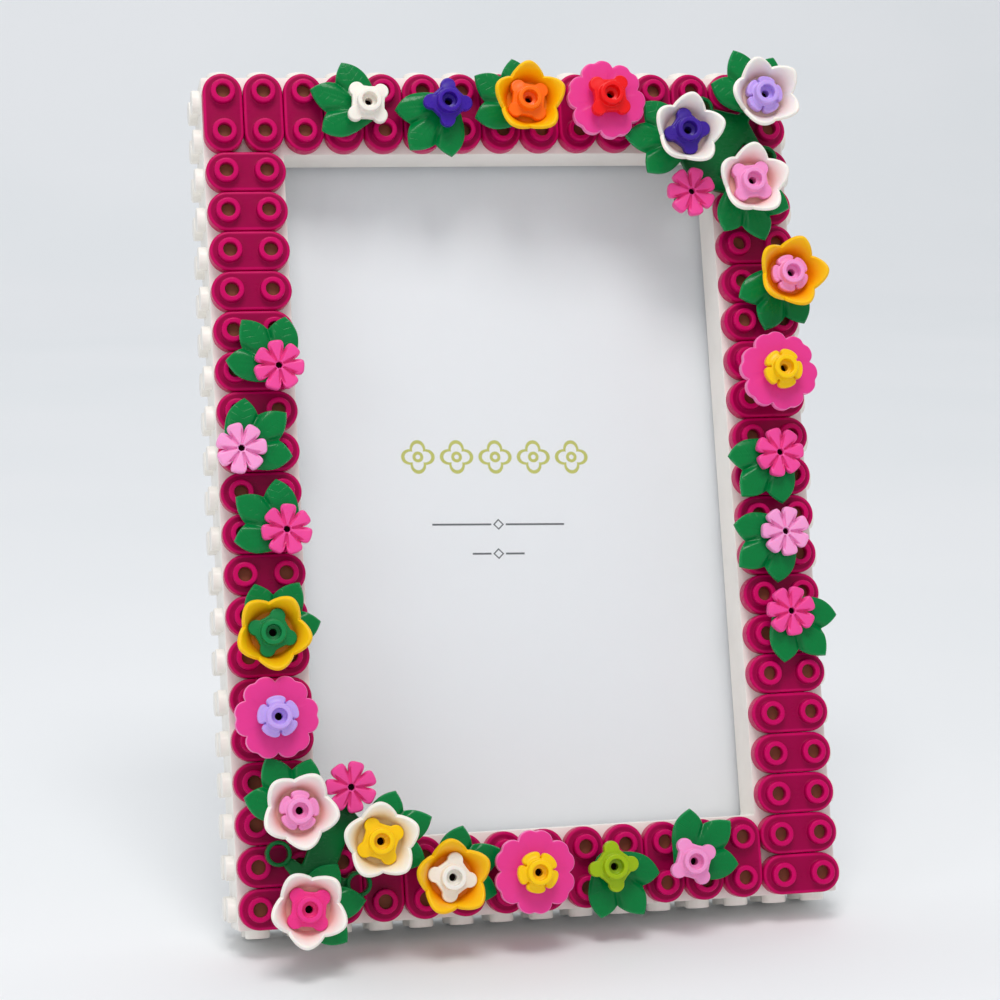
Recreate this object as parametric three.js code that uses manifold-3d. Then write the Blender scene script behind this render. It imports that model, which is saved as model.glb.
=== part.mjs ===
// Free-standing photo frame for a 4 x 6 inch print, with a clip-on plate border
// and a garden of plug-in leaves and flowers. Units are millimetres, +Z is up.
import * as THREE from 'three';
import { mergeVertices } from 'three/addons/utils/BufferGeometryUtils.js';
import Module from 'manifold-3d';

const wasm = await Module();
wasm.setup();

// ---- driving dimensions -------------------------------------------------------------
const PITCH = 8;                    // stud spacing of the plate system
const COLS = 15;                    // studs across the frame
const ROWS = 21;                    // studs up the frame
const BORDER = 2;                   // studs across each side of the border
const FRAME_DEPTH = 16;             // front face to back face of the moulded frame
const WALL_DEPTH = 9.6;             // visible wall of the picture opening
const REBATE = [103.4, 154.4];      // pocket behind the opening that takes the print
const PRINT = [101.6, 152.4, 0.5];  // 4 x 6 inch card
const SHEET_SIZE = [102.8, 153.8];  // window and back panel
const STUD_R = 2.4;
const STUD_H = 1.7;
const BORE_R = 1.75;                // open centre of leaves, flowers and branch rings
const GAP = 0.3;                    // clearance kept between separate pieces
const PLATE_SIZE = [15.76, 7.76];
const PLATE_TOP = 3.2;
const PIN_R = 1.15;                 // pin under each flower, turning in its leaf or ring
const LEAN = THREE.MathUtils.degToRad(16.6);
const LEG_OPEN = THREE.MathUtils.degToRad(30);
const HINGE = { y: 34, out: -19 };  // easel pivot, in face coordinates
const BRANCH_RISE = 3.5;            // flowers on a branch stand this much further out

const FRAME_W = COLS * PITCH;
const FRAME_H = ROWS * PITCH;
const SEAT = PLATE_TOP + STUD_H + GAP;   // height at which leaves rest on the studs

// Face coordinates: x right, y up the face, z straight out of the front face (z = 0).
const place = (col, row) => [(col - 8) * PITCH, (11 - row) * PITCH];

// ---- solid helpers ------------------------------------------------------------------
const solid = (geometry) => {
  const bare = new THREE.BufferGeometry();
  bare.setAttribute('position', geometry.getAttribute('position'));
  if (geometry.index) bare.setIndex(geometry.index);
  const welded = mergeVertices(bare, 1e-4);
  const triangles = [];
  for (let i = 0; i < welded.index.count; i += 3) {
    const [a, b, c] = [0, 1, 2].map((k) => welded.index.getX(i + k));
    if (a !== b && b !== c && c !== a) triangles.push(a, b, c);
  }
  return new wasm.Manifold(new wasm.Mesh({
    numProp: 3,
    vertProperties: new Float32Array(welded.getAttribute('position').array),
    triVerts: new Uint32Array(triangles),
  }));
};

const join = (pieces) => pieces.reduce((whole, piece) => whole.add(piece));

const block = (w, h, d, x, y, z) => solid(new THREE.BoxGeometry(w, h, d).translate(x, y, z));

// Round bar standing on the face plane, from height z0 to z1.
const post = (r, z0, z1, x = 0, y = 0, sides = 8) => solid(
  new THREE.CylinderGeometry(r, r, z1 - z0, sides).rotateX(Math.PI / 2)
    .translate(x, y, (z0 + z1) / 2));

// Round bar lying across the face, along x.
const crossbar = (r, length, y, z, sides = 12) => solid(
  new THREE.CylinderGeometry(r, r, length, sides).rotateZ(Math.PI / 2).translate(0, y, z));

const slab = (points, z0, z1) => solid(new THREE.ExtrudeGeometry(
  new THREE.Shape(points), { depth: z1 - z0, bevelEnabled: false }).translate(0, 0, z0));

// Outline with n rounded lobes between the radii inner and outer.
const lobes = (n, inner, outer, perLobe = 3) => {
  const points = [];
  for (let i = 0; i < n * perLobe; i += 1) {
    const a = (2 * Math.PI * i) / (n * perLobe);
    const r = (inner + outer) / 2 + ((outer - inner) / 2) * Math.cos(n * a);
    points.push(new THREE.Vector2(r * Math.cos(a), r * Math.sin(a)));
  }
  return points;
};

// ---- moulded frame ------------------------------------------------------------------
const BUTTON_X = (REBATE[0] / 2 + FRAME_W / 2) / 2;

const frameBody = () => {
  const opening = [FRAME_W - 2 * BORDER * PITCH, FRAME_H - 2 * BORDER * PITCH];
  let body = block(FRAME_W, FRAME_H, FRAME_DEPTH, 0, 0, -FRAME_DEPTH / 2)
    .subtract(block(opening[0], opening[1], 40, 0, 0, 0))
    .subtract(block(REBATE[0], REBATE[1], 40, 0, 0, -WALL_DEPTH - 20));
  for (const side of [-1, 1]) {
    body = body.subtract(post(1.8, -30, -11, side * BUTTON_X, 0));
  }
  // studs on all four outer edges, in two rows through the depth
  const studs = [];
  const root = 0.3;
  for (const out of [-PITCH / 2, -PITCH * 1.5]) {
    for (const side of [-1, 1]) {
      for (let row = 1; row <= ROWS; row += 1) {
        const x = side * (FRAME_W / 2 + (STUD_H - root) / 2);
        studs.push(solid(new THREE.CylinderGeometry(STUD_R, STUD_R, STUD_H + root, 6)
          .rotateZ(Math.PI / 2).translate(x, place(0, row)[1], out)));
      }
      for (let col = 1; col <= COLS; col += 1) {
        const y = side * (FRAME_H / 2 + (STUD_H - root) / 2);
        studs.push(solid(new THREE.CylinderGeometry(STUD_R, STUD_R, STUD_H + root, 6)
          .translate(place(col, 0)[0], y, out)));
      }
    }
  }
  return join([body, ...studs]);
};

// ---- border plates ------------------------------------------------------------------
// One round-ended plate with two open studs, centred on (x, y).
const plate = (x, y, upright) => {
  const [length, width] = PLATE_SIZE;
  const reach = (length - width) / 2;
  const outline = [];
  for (let i = 0; i < 10; i += 1) {
    const end = i < 5 ? 1 : -1;
    const a = (end * -Math.PI) / 2 + (Math.PI * (i % 5)) / 4;
    outline.push(new THREE.Vector2(
      end * reach + (width / 2) * Math.cos(a), (width / 2) * Math.sin(a)));
  }
  let whole = slab(outline, GAP, PLATE_TOP);
  for (const side of [-1, 1]) {
    whole = whole.add(post(STUD_R, PLATE_TOP - 0.4, PLATE_TOP + STUD_H, (side * PITCH) / 2, 0, 6));
  }
  return whole.rotate([0, 0, upright ? 90 : 0]).translate([x, y, 0]);
};

// A run of plates side by side; a thin web under the tops holds the run together.
const plateRun = (first, last, fixed, upright) => {
  const pieces = [];
  for (let i = first; i <= last; i += 1) {
    const [x, y] = upright ? place(i, fixed) : place(fixed, i);
    pieces.push(plate(x, y, upright));
  }
  const a = upright ? place(first, fixed) : place(fixed, first);
  const b = upright ? place(last, fixed) : place(fixed, last);
  pieces.push(block(
    upright ? Math.abs(b[0] - a[0]) : 3, upright ? 3 : Math.abs(b[1] - a[1]), 1.2,
    (a[0] + b[0]) / 2, (a[1] + b[1]) / 2, GAP + 0.9));
  return join(pieces);
};

// ---- back of the frame --------------------------------------------------------------
const backPanel = () => {
  let panel = block(SHEET_SIZE[0], SHEET_SIZE[1], 3.4, 0, 0, -14);
  for (const side of [-1, 1]) {
    const lug = join([
      block(4, 7, 4, side * 11.5, HINGE.y, -17),
      crossbar(3.5, 4, HINGE.y, HINGE.out).translate([side * 11.5, 0, 0]),
    ]);
    panel = panel.add(lug);
  }
  return panel.subtract(crossbar(1.6, 40, HINGE.y, HINGE.out));
};

// The leg is drawn hanging flat against the panel, swung open, then cut level.
const easelLeg = (floor) => {
  const long = 125;
  const outline = [[-8.5, 0], [-8.5, -14], [-24, -long], [24, -long], [8.5, -14], [8.5, 0]]
    .map(([x, y]) => new THREE.Vector2(x, y)).reverse();
  return slab(outline, -1.5, 1.5)
    .add(crossbar(3.2, 17, 0, 0))
    .subtract(crossbar(1.6, 40, 0, 0))
    .rotate([THREE.MathUtils.radToDeg(LEG_OPEN), 0, 0])
    .translate([0, HINGE.y, HINGE.out])
    .subtract(floor);
};

const turnButton = (side) => join([
  post(3.9, -18.2, -FRAME_DEPTH - GAP, side * BUTTON_X, 0, 12),
  post(1.4, -FRAME_DEPTH - 1, -11.3, side * BUTTON_X, 0),
  block(10, 4.6, 1.9, side * (BUTTON_X - 5), 0, -17.25),
]);

// ---- leaves, branches and flowers -----------------------------------------------------
// Three pointed leaves fanned on one side of a round eye, as bearing and radius.
const LEAF_FAN = [
  [-78, 5], [-60, 7.6], [-46, 10.2], [-34, 8], [-23, 6.4], [-16, 8], [0, 11.6],
  [16, 8], [23, 6.4], [34, 8], [46, 10.2], [60, 7.6], [78, 5],
  [112, 2.9], [146, 2.9], [180, 2.9], [214, 2.9], [248, 2.9],
];

const leafTrio = (aim) => {
  const outline = LEAF_FAN.map(([bearing, r]) => new THREE.Vector2(r, 0)
    .rotateAround(new THREE.Vector2(), THREE.MathUtils.degToRad(bearing)));
  return slab(outline, SEAT, SEAT + 1.8).subtract(post(BORE_R, 0, 12)).rotate([0, 0, aim]);
};

// Flat branch: a broad stem with a ring at each end and two side arms per end.
const RINGS = [[12.1, 0], [4.3, 8.2], [4.3, -8.2], [-12.1, 0], [-4.3, 8.2], [-4.3, -8.2]];

const bar = (x0, y0, x1, y1, width, z0, z1) => {
  const turn = THREE.MathUtils.radToDeg(Math.atan2(y1 - y0, x1 - x0));
  return block(Math.hypot(x1 - x0, y1 - y0), width, z1 - z0, 0, 0, (z0 + z1) / 2)
    .rotate([0, 0, turn]).translate([(x0 + x1) / 2, (y0 + y1) / 2, 0]);
};

const branch = (turn) => {
  const top = SEAT + 2;
  let whole = join([
    bar(-7.5, 0, 7.5, 0, 6.4, SEAT, top), bar(-12, 0, 12, 0, 3, SEAT, top),
  ]);
  for (const [x, y] of RINGS) {
    if (y !== 0) whole = whole.add(bar(Math.sign(x) * 8.6, 0, x, y, 2.4, SEAT, top));
    whole = whole.add(post(2.5, SEAT, SEAT + 3.2, x, y, 8));
  }
  for (const [x, y] of RINGS) whole = whole.subtract(post(BORE_R, 0, 12, x, y, 6));
  return whole.rotate([0, 0, turn]);
};

const pin = (top) => post(PIN_R, SEAT, top, 0, 0, 6);

// Small plug-on flower with an open stud; z0 is where its collar starts.
const studFlower = (petals, z0, reach = 4.9) => {
  const outline = petals === 5 ? lobes(5, 3.4, 4.0) : lobes(4, 3.1, reach);
  return join([
    post(2.7, z0, z0 + 2, 0, 0, 6), slab(outline, z0 + 1.5, z0 + 3.2),
    post(STUD_R, z0 + 3, z0 + 3.2 + STUD_H),
  ]).subtract(post(BORE_R, z0 + 3.6, 40, 0, 0, 6));
};

// Five-petalled cup: a turned bowl whose rim is drawn up into petals.
const cup = (z0) => {
  const profile = [[0, 0], [2.8, 0], [5.5, 2.9], [6.9, 6.8], [6.2, 7.0], [3.8, 1.6], [0, 1.6]];
  const bowl = new THREE.LatheGeometry(profile.map(([r, z]) => new THREE.Vector2(r, z)), 15);
  const position = bowl.getAttribute('position');
  for (let i = 0; i < position.count; i += 1) {
    const [x, y, z] = [position.getX(i), position.getY(i), position.getZ(i)];
    const wave = Math.cos(5 * Math.atan2(z, x)) * (Math.hypot(x, z) / 6.9) ** 3;
    const spread = 1 + 0.1 * wave;
    position.setXYZ(i, x * spread, y + 0.9 * wave, z * spread);
  }
  return solid(bowl.rotateX(Math.PI / 2)).translate([0, 0, z0]);
};

const LEAF_TOP = SEAT + 1.8 + GAP;

const blooms = {
  single: (petals) => join([pin(LEAF_TOP + 1), studFlower(petals, LEAF_TOP)]),
  cupped: (petals) => join([
    pin(LEAF_TOP + 1), cup(LEAF_TOP), studFlower(petals, LEAF_TOP + 1.5, 4.3),
  ]),
  scalloped: (petals) => join([
    post(3.0, SEAT, 11, 0, 0, 8), slab(lobes(6, 6.9, 8.0), 10.5, 12.2),
    studFlower(petals, 12.1),
  ]),
  daisy: () => join([pin(LEAF_TOP + 1), slab(lobes(7, 4.0, 5.15), LEAF_TOP + 0.2, LEAF_TOP + 2)]),
};

// ---- colours --------------------------------------------------------------------------
const COLOUR = {
  white: 0xf2efe8, magenta: 0xb31255, green: 0x0c7c3c, clear: 0xdfe8ea, card: 0xe4e4e6,
  board: 0x6d5a48, grey: 0x8b8d90, steel: 0xaeb2b6, yellow: 0xf6c012, orange: 0xf0641e,
  red: 0xe01818, purple: 0x35209a, lavender: 0xb9a6e6, pink: 0xe63f97, blush: 0xf09fd2,
  rose: 0xe0358c, cream: 0xf3e3b0, lime: 0xa6be1c, leafgreen: 0x127a3a,
};

// ---- where everything sits ------------------------------------------------------------
// name, column, row, bloom kind, petals, petal colour, turn, leaf aim (null = no leaf)
const GARDEN = [
  ['top_1', 4.5, 1.5, 'single', 4, 'white', 40, 162],
  ['top_2', 6.5, 1.5, 'single', 4, 'purple', 85, 229],
  ['top_3', 8.5, 1.5, 'cupped', 4, 'yellow', 18, 146],
  ['top_4', 10.5, 1.5, 'scalloped', 4, 'pink', 45, null],
  ['right_1', 15, 6, 'cupped', 5, 'yellow', 0, 247],
  ['right_2', 14.5, 8.5, 'scalloped', 5, 'pink', 15, null],
  ['right_3', 14.5, 10.5, 'daisy', 7, 'rose', 12, 227],
  ['right_4', 14.5, 12.5, 'daisy', 7, 'blush', 0, 215],
  ['right_5', 14.5, 14.5, 'daisy', 7, 'rose', 5, 308],
  ['left_1', 2, 8, 'daisy', 7, 'rose', 0, 125],
  ['left_2', 1, 10, 'daisy', 7, 'blush', 5, 37],
  ['left_3', 2, 12, 'daisy', 7, 'rose', 20, 144],
  ['left_4', 1.5, 14.5, 'cupped', 4, 'yellow', 0, 58],
  ['left_5', 1.5, 16.5, 'scalloped', 5, 'pink', 0, null],
  ['bottom_1', 5.5, 20.5, 'cupped', 4, 'yellow', 10, 24],
  ['bottom_2', 7.5, 20.5, 'scalloped', 5, 'pink', 30, null],
  ['bottom_3', 9.5, 20.5, 'single', 4, 'lime', 0, 303],
  ['bottom_4', 11.5, 20.5, 'single', 4, 'blush', 25, 39],
];

// name, hub column, hub row, turn, then [ring index, kind, petals, colour, turn, leaf aim]
const CORNERS = [
  ['upper', 13.56, 2.66, 50.8, [
    [4, 'cupped', 4, 'white', 10, 178],
    [0, 'cupped', 5, 'white', 12, 112],
    [5, 'cupped', 4, 'white', 18, 288],
    [3, 'daisy', 7, 'rose', 8, null],
  ]],
  ['lower', 2.6, 19.62, 66.3, [
    [1, 'cupped', 5, 'white', 0, 117],
    [2, 'cupped', 4, 'white', 24, 20],
    [3, 'cupped', 4, 'white', 10, 4],
    [0, 'daisy', 7, 'rose', 20, null],
  ]],
];

// ---- assembly ---------------------------------------------------------------------------
// From face coordinates to the standing pose: tip upright, then lean back.
const stand = (piece) => piece.rotate([90 - THREE.MathUtils.radToDeg(LEAN), 0, 0]);

// The floor touches the rearmost edge studs; it is a thick block in face coordinates.
const floorBlock = (body) => {
  const low = stand(body).boundingBox().min[2];
  return block(400, 400, 100, 0, 0, low - 50)
    .rotate([THREE.MathUtils.radToDeg(LEAN) - 90, 0, 0]);
};

const parts = [];
const put = (name, piece, colour) => parts.push({ name, piece: stand(piece), colour });

const body = frameBody();
put('frame_body', body, 'white');
put('plates_top', plateRun(1, 13, 1.5, true), 'magenta');
put('plates_bottom', plateRun(3, 13, 20.5, true), 'magenta');
put('plates_left', plateRun(3, 21, 1.5, false), 'magenta');
put('plates_right', plateRun(1, 21, 14.5, false), 'magenta');
put('clear_window', block(SHEET_SIZE[0], SHEET_SIZE[1], 1.2, 0, 0, -10.5), 'clear');
put('photo_insert', block(...PRINT, 0, 0, -11.65), 'card');
put('back_panel', backPanel(), 'board');
put('easel_leg', easelLeg(floorBlock(body)), 'board');
put('hinge_pin', crossbar(1.2, 28, HINGE.y, HINGE.out), 'steel');
put('turn_button_left', turnButton(-1), 'grey');
put('turn_button_right', turnButton(1), 'grey');

for (const [name, col, row, kind, petals, colour, turn, aim] of GARDEN) {
  const [x, y] = place(col, row);
  if (aim !== null) put(`leaves_${name}`, leafTrio(aim).translate([x, y, 0]), 'green');
  put(`bloom_${name}`, blooms[kind](petals).rotate([0, 0, turn]).translate([x, y, 0]), colour);
}

for (const [name, col, row, turn, heads] of CORNERS) {
  const [hx, hy] = place(col, row);
  put(`branch_${name}`, branch(turn).translate([hx, hy, 0]), 'leafgreen');
  heads.forEach(([ring, kind, petals, colour, spin, aim], i) => {
    const at = new THREE.Vector2(...RINGS[ring])
      .rotateAround(new THREE.Vector2(), THREE.MathUtils.degToRad(turn));
    const spot = [hx + at.x, hy + at.y, BRANCH_RISE - (aim === null ? 1.8 : 0)];
    const tag = `${name}_${i + 1}`;
    if (aim !== null) put(`leaves_${tag}`, leafTrio(aim).translate([spot[0], spot[1], BRANCH_RISE]), 'green');
    put(`bloom_${tag}`, blooms[kind](petals).rotate([0, 0, spin]).translate(spot), colour);
  });
}

// The origin is the middle of the footprint, on the floor.
const box = new THREE.Box3();
for (const { piece } of parts) {
  const { min, max } = piece.boundingBox();
  box.expandByPoint(new THREE.Vector3(...min)).expandByPoint(new THREE.Vector3(...max));
}
const centre = box.getCenter(new THREE.Vector3());

const frame = new THREE.Group();
frame.name = 'flower_photo_frame';
for (const { name, piece, colour } of parts) {
  const mesh = piece.translate([-centre.x, -centre.y, -box.min.z]).getMesh();
  const geometry = new THREE.BufferGeometry();
  geometry.setAttribute('position', new THREE.BufferAttribute(mesh.vertProperties, 3));
  geometry.setIndex(new THREE.BufferAttribute(mesh.triVerts, 1));
  geometry.computeVertexNormals();
  const material = new THREE.MeshStandardMaterial({ color: COLOUR[colour], roughness: 0.4 });
  const node = new THREE.Mesh(geometry, material);
  node.name = name;
  frame.add(node);
}

export default frame;
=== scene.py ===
"""Free-standing picture frame with a border of studded plates and a garden of plug-in flowers.

Shapes are worked out in face coordinates, in millimetres: x to the right, y up the face, and
"out" straight out of the white front face. FacePlane turns them into the upright row frame.
"""

import logging
import math
from dataclasses import dataclass, field
from enum import Enum

import bmesh
import bpy
import numpy as np
from mathutils import Matrix, Vector

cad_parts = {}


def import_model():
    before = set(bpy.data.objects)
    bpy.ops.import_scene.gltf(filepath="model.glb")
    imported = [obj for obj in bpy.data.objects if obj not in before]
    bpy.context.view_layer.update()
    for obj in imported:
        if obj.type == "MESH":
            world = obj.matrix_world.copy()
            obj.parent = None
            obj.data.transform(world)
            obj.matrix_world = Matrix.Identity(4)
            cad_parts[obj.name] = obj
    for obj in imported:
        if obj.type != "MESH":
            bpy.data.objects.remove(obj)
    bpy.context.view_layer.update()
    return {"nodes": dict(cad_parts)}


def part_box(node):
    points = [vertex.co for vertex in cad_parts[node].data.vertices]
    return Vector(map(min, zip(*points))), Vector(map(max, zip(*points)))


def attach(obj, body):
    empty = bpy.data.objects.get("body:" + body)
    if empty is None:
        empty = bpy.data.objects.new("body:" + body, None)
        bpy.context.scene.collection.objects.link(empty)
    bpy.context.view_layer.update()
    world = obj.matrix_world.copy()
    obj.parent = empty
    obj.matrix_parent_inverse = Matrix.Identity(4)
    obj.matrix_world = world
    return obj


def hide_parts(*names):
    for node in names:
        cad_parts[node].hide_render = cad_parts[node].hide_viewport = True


LOG = logging.getLogger("flower_frame")

MM = 0.001  # millimetres to metres
PITCH = 8.0  # from stud to stud
LEAN = math.radians(16.6)  # how far the face leans back
HINGE_UP, HINGE_OUT = 34.0, -19.0  # the hinge's axis, in face coordinates
STUD_RADIUS, STUD_HEIGHT, STUD_BORE = 2.4, 1.7, 1.5
SEAT = 5.2  # height of a border stud's top, which plugged pieces stand on
LEAF_TOP = 7.3  # height of a leaf trio's eye, which flowers stand on
BRANCH_RISE = 3.5  # how much further out a branch's rings carry their flowers
PIN_RADIUS = 1.15  # pin under a flower
PIN_FOOT = SEAT + 0.1
DISC_TOP = 12.1  # where the small flower stands on a scalloped disc
WELD = 2e-6  # metres within which two points are one

Array = np.ndarray
Colour = tuple[float, float, float]
Socket = bpy.types.NodeSocket


def shade(red: int, green: int, blue: int) -> Colour:
    """Turns a colour into linear light, by the usual 2.4 power curve.

    Args:
        red: 0 to 255, like green and blue.
        green: the same.
        blue: the same.

    Returns:
        The three parts of the colour, 0 to 1.
    """
    parts = np.array([red, green, blue]) / 255
    low, high = parts / 12.92, ((parts + 0.055) / 1.055) ** 2.4
    return tuple(float(v) for v in np.where(parts <= 0.04045, low, high))


def stud_place(column: float, row: float) -> tuple[float, float]:
    """Face position of a stud, counted from the upper left corner."""
    return (column - 8) * PITCH, (11 - row) * PITCH


# ==== Frame of reference ====


@dataclass(frozen=True)
class FacePlane:
    """The leaning face of the frame, which every face coordinate is measured on.

    Attributes:
        anchor: row-frame place, in mm, of the middle of the white front face.
    """

    anchor: tuple[float, float, float]

    @classmethod
    def from_frame(cls) -> "FacePlane":
        """Finds the face from the moulded frame's middle and the hinge pin's axis.

        Returns:
            The face plane.
        """
        low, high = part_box("frame_body")
        pin_low, pin_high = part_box("hinge_pin")
        pin = (pin_low + pin_high) / 2 / MM
        sine, cosine = math.sin(LEAN), math.cos(LEAN)
        return cls((
            (low.x + high.x) / 2 / MM,
            pin.y - (sine * HINGE_UP - cosine * HINGE_OUT),
            pin.z - (cosine * HINGE_UP + sine * HINGE_OUT),
        ))

    @property
    def axes(self) -> Array:
        """Columns are the row-frame directions of x, y and out."""
        sine, cosine = math.sin(LEAN), math.cos(LEAN)
        return np.array([[1, 0, 0], [0, sine, -cosine], [0, cosine, sine]])

    def to_row(self, points: Array) -> Array:
        """Row-frame points in metres for face points in mm, of shape (..., 3)."""
        return (points @ self.axes.T + np.array(self.anchor)) * MM


# ==== Surfaces ====


class Ends(Enum):
    """How the first and last loop of a skin are closed."""

    POLES = "each end closes on its middle point"
    RING = "the last loop meets the first"


def rounded(profile: list[tuple[float, ...]], radii: list[float], steps: int = 4) -> Array:
    """Rounds the corners of a profile.

    Each corner P becomes the curve (1-t)^2 A + 2t(1-t) P + t^2 B, where A and B lie on the
    two neighbouring sides at the corner's radius from P.

    Args:
        profile: the corner points, in order. The first and last stay as they are.
        radii: one rounding for each corner between them; 0 keeps it sharp.
        steps: spans in each rounded corner.

    Returns:
        The profile's points as rows.
    """
    corners = np.array(profile, float)
    made = [corners[:1]]
    for before, here, after, radius in zip(corners, corners[1:], corners[2:], radii):
        if radius <= 0:
            made.append(here[None])
            continue
        t = np.linspace(0, 1, steps + 1)[:, None]
        start = here + (before - here) * min(radius / np.linalg.norm(before - here), 0.5)
        end = here + (after - here) * min(radius / np.linalg.norm(after - here), 0.5)
        made.append((1 - t) ** 2 * start + 2 * t * (1 - t) * here + t ** 2 * end)
    return np.concatenate([*made, corners[-1:]])


def circle(radius: float, angles: Array) -> Array:
    """Points (r cos a, r sin a) of a circle."""
    return np.stack([radius * np.cos(angles), radius * np.sin(angles)], -1)


def even_angles(count: int) -> Array:
    """Angles of count points spread evenly round a circle."""
    return np.arange(count) * (2 * math.pi / count)


def inset(outline: Array, distance: float) -> Array:
    """Moves a closed outline inwards along its normals, found from each point's neighbours.

    Args:
        outline: points in order, anticlockwise, of shape (N, 2).
        distance: how far to move them.

    Returns:
        The moved points.
    """
    along = np.roll(outline, -1, 0) - np.roll(outline, 1, 0)
    along /= np.maximum(np.linalg.norm(along, axis=1, keepdims=True), 1e-9)
    return outline - distance * np.stack([along[:, 1], -along[:, 0]], -1)


def lift(outline: Array, out: float | Array) -> Array:
    """Gives a flat outline its height above the face."""
    heights = np.broadcast_to(np.asarray(out, float), outline.shape[:-1])
    return np.concatenate([outline, heights[..., None]], -1)


def turned(points: Array, degrees: float) -> Array:
    """Turns points about the out direction, by the usual plane rotation.

    Args:
        points: points in face coordinates, stacked last.
        degrees: how far, anticlockwise.

    Returns:
        The turned points.
    """
    a = math.radians(degrees)
    spin = np.array([[math.cos(a), -math.sin(a), 0], [math.sin(a), math.cos(a), 0], [0, 0, 1]])
    return points @ spin.T


def rings(profile: Array, angles: Array) -> Array:
    """Level circles at a profile's radii and heights, one loop to each of its points."""
    return np.stack([lift(circle(radius, angles), out) for radius, out in profile])


def squared(values: Array, power: float) -> Array:
    """Keeps each number's sign and raises its size to a power, which squares a circle off."""
    return np.sign(values) * np.abs(values) ** power


def from_middle(angles: Array, petals: int) -> Array:
    """How far each angle is from its petal's middle: 0 there, -1 and 1 at its edges."""
    half = math.pi / petals
    return ((angles + half) % (2 * half) - half) / half


def rectangle(width: float, height: float, out: float, corner: float) -> Array:
    """A level rectangle whose corners are quarter circles of four spans.

    Args:
        width: its size along x.
        height: its size along y.
        out: its height above the face.
        corner: radius of its corners.

    Returns:
        The loop's points.
    """
    quarter = circle(corner, np.linspace(0, math.pi / 2, 5))
    corners = [
        quarter @ np.array([[c, s], [-s, c]])
        + np.array([cx * (width / 2 - corner), cy * (height / 2 - corner)])
        for c, s, cx, cy in ((1, 0, 1, 1), (0, 1, -1, 1), (-1, 0, -1, -1), (0, -1, 1, -1))
    ]
    return lift(np.concatenate(corners), out)


def about_hinge(profile: Array, count: int, x: float) -> Array:
    """Carries a profile round the hinge's axis.

    Args:
        profile: radius and distance along the axis, as rows.
        count: points in each loop.
        x: where along the axis the profile's zero is.

    Returns:
        One upright circle to each row.
    """
    angles = even_angles(count)
    return np.stack([
        np.stack([np.full(count, x + side), HINGE_UP + radius * np.cos(angles),
                  HINGE_OUT + radius * np.sin(angles)], -1)
        for radius, side in profile])


class Shell:
    """Closed surfaces gathered into one piece.

    Every point carries a guide of three numbers that its material may read as the attribute
    "guide": for petals and leaves, how far along and how far across the blade it is. On
    plates, cups and discs its first number blends the finish's two colours, which paints light
    and shade.
    """

    def __init__(self) -> None:
        """Starts an empty shell."""
        self.points: list[Array] = []
        self.guides: list[Array] = []
        self.faces: list[list[int]] = []
        self.slots: list[Array] = []
        self.count = 0

    def skin(self, loops: list[Array] | Array, ends: Ends = Ends.POLES,
             guides: Array | None = None, slot: int = 0) -> "Shell":
        """Covers a stack of loops, which run anticlockwise seen from the front.

        Point j of loop i is joined to point j of loop i+1, and the face looks towards
        (direction of the loop) x (direction of the stack).

        Args:
            loops: loops of N points in face coordinates, of shape (R, N, 3).
            ends: how the first and last loop are closed.
            guides: guide numbers of the same shape as the loops, or None for zeros.
            slot: material slot of these faces.

        Returns:
            This shell.
        """
        stack = np.asarray(loops, float)
        rows, around = stack.shape[:2]
        guide = np.zeros_like(stack) if guides is None else np.asarray(guides, float)
        grid = np.arange(rows * around).reshape(rows, around) + self.count
        if ends is Ends.RING:
            grid = np.concatenate([grid, grid[:1]])
        right = np.roll(grid, -1, 1)
        quads = np.stack([grid[:-1], right[:-1], right[1:], grid[1:]], -1).reshape(-1, 4)
        faces = quads.tolist()
        points, marks = [stack.reshape(-1, 3)], [guide.reshape(-1, 3)]
        if ends is Ends.POLES:
            first = self.count + rows * around
            points.append(np.stack([stack[0].mean(0), stack[-1].mean(0)]))
            marks.append(np.stack([guide[0].mean(0), guide[-1].mean(0)]))
            low = np.stack([np.full(around, first), right[0], grid[0]], -1)
            high = np.stack([grid[-1], right[-1], np.full(around, first + 1)], -1)
            faces += low.tolist() + high.tolist()
        self.points += points
        self.guides += marks
        self.faces += faces
        self.slots.append(np.full(len(faces), slot))
        self.count += sum(len(p) for p in points)
        return self

    def placed(self, x: float, y: float, out: float = 0.0, turn: float = 0.0) -> "Shell":
        """Turns the shell about its own middle, then moves it to its place on the face.

        Args:
            x: how far to move it along the face.
            y: how far to move it up the face.
            out: how far to move it out of the face.
            turn: degrees to turn it by.

        Returns:
            This shell.
        """
        self.points = [turned(p, turn) + np.array([x, y, out]) for p in self.points]
        return self

    def add(self, other: "Shell") -> "Shell":
        """Takes in another shell's surfaces.

        Args:
            other: the shell to take them from.

        Returns:
            This shell.
        """
        self.faces += [[i + self.count for i in face] for face in other.faces]
        self.points += other.points
        self.guides += other.guides
        self.slots += other.slots
        self.count += other.count
        return self


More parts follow.
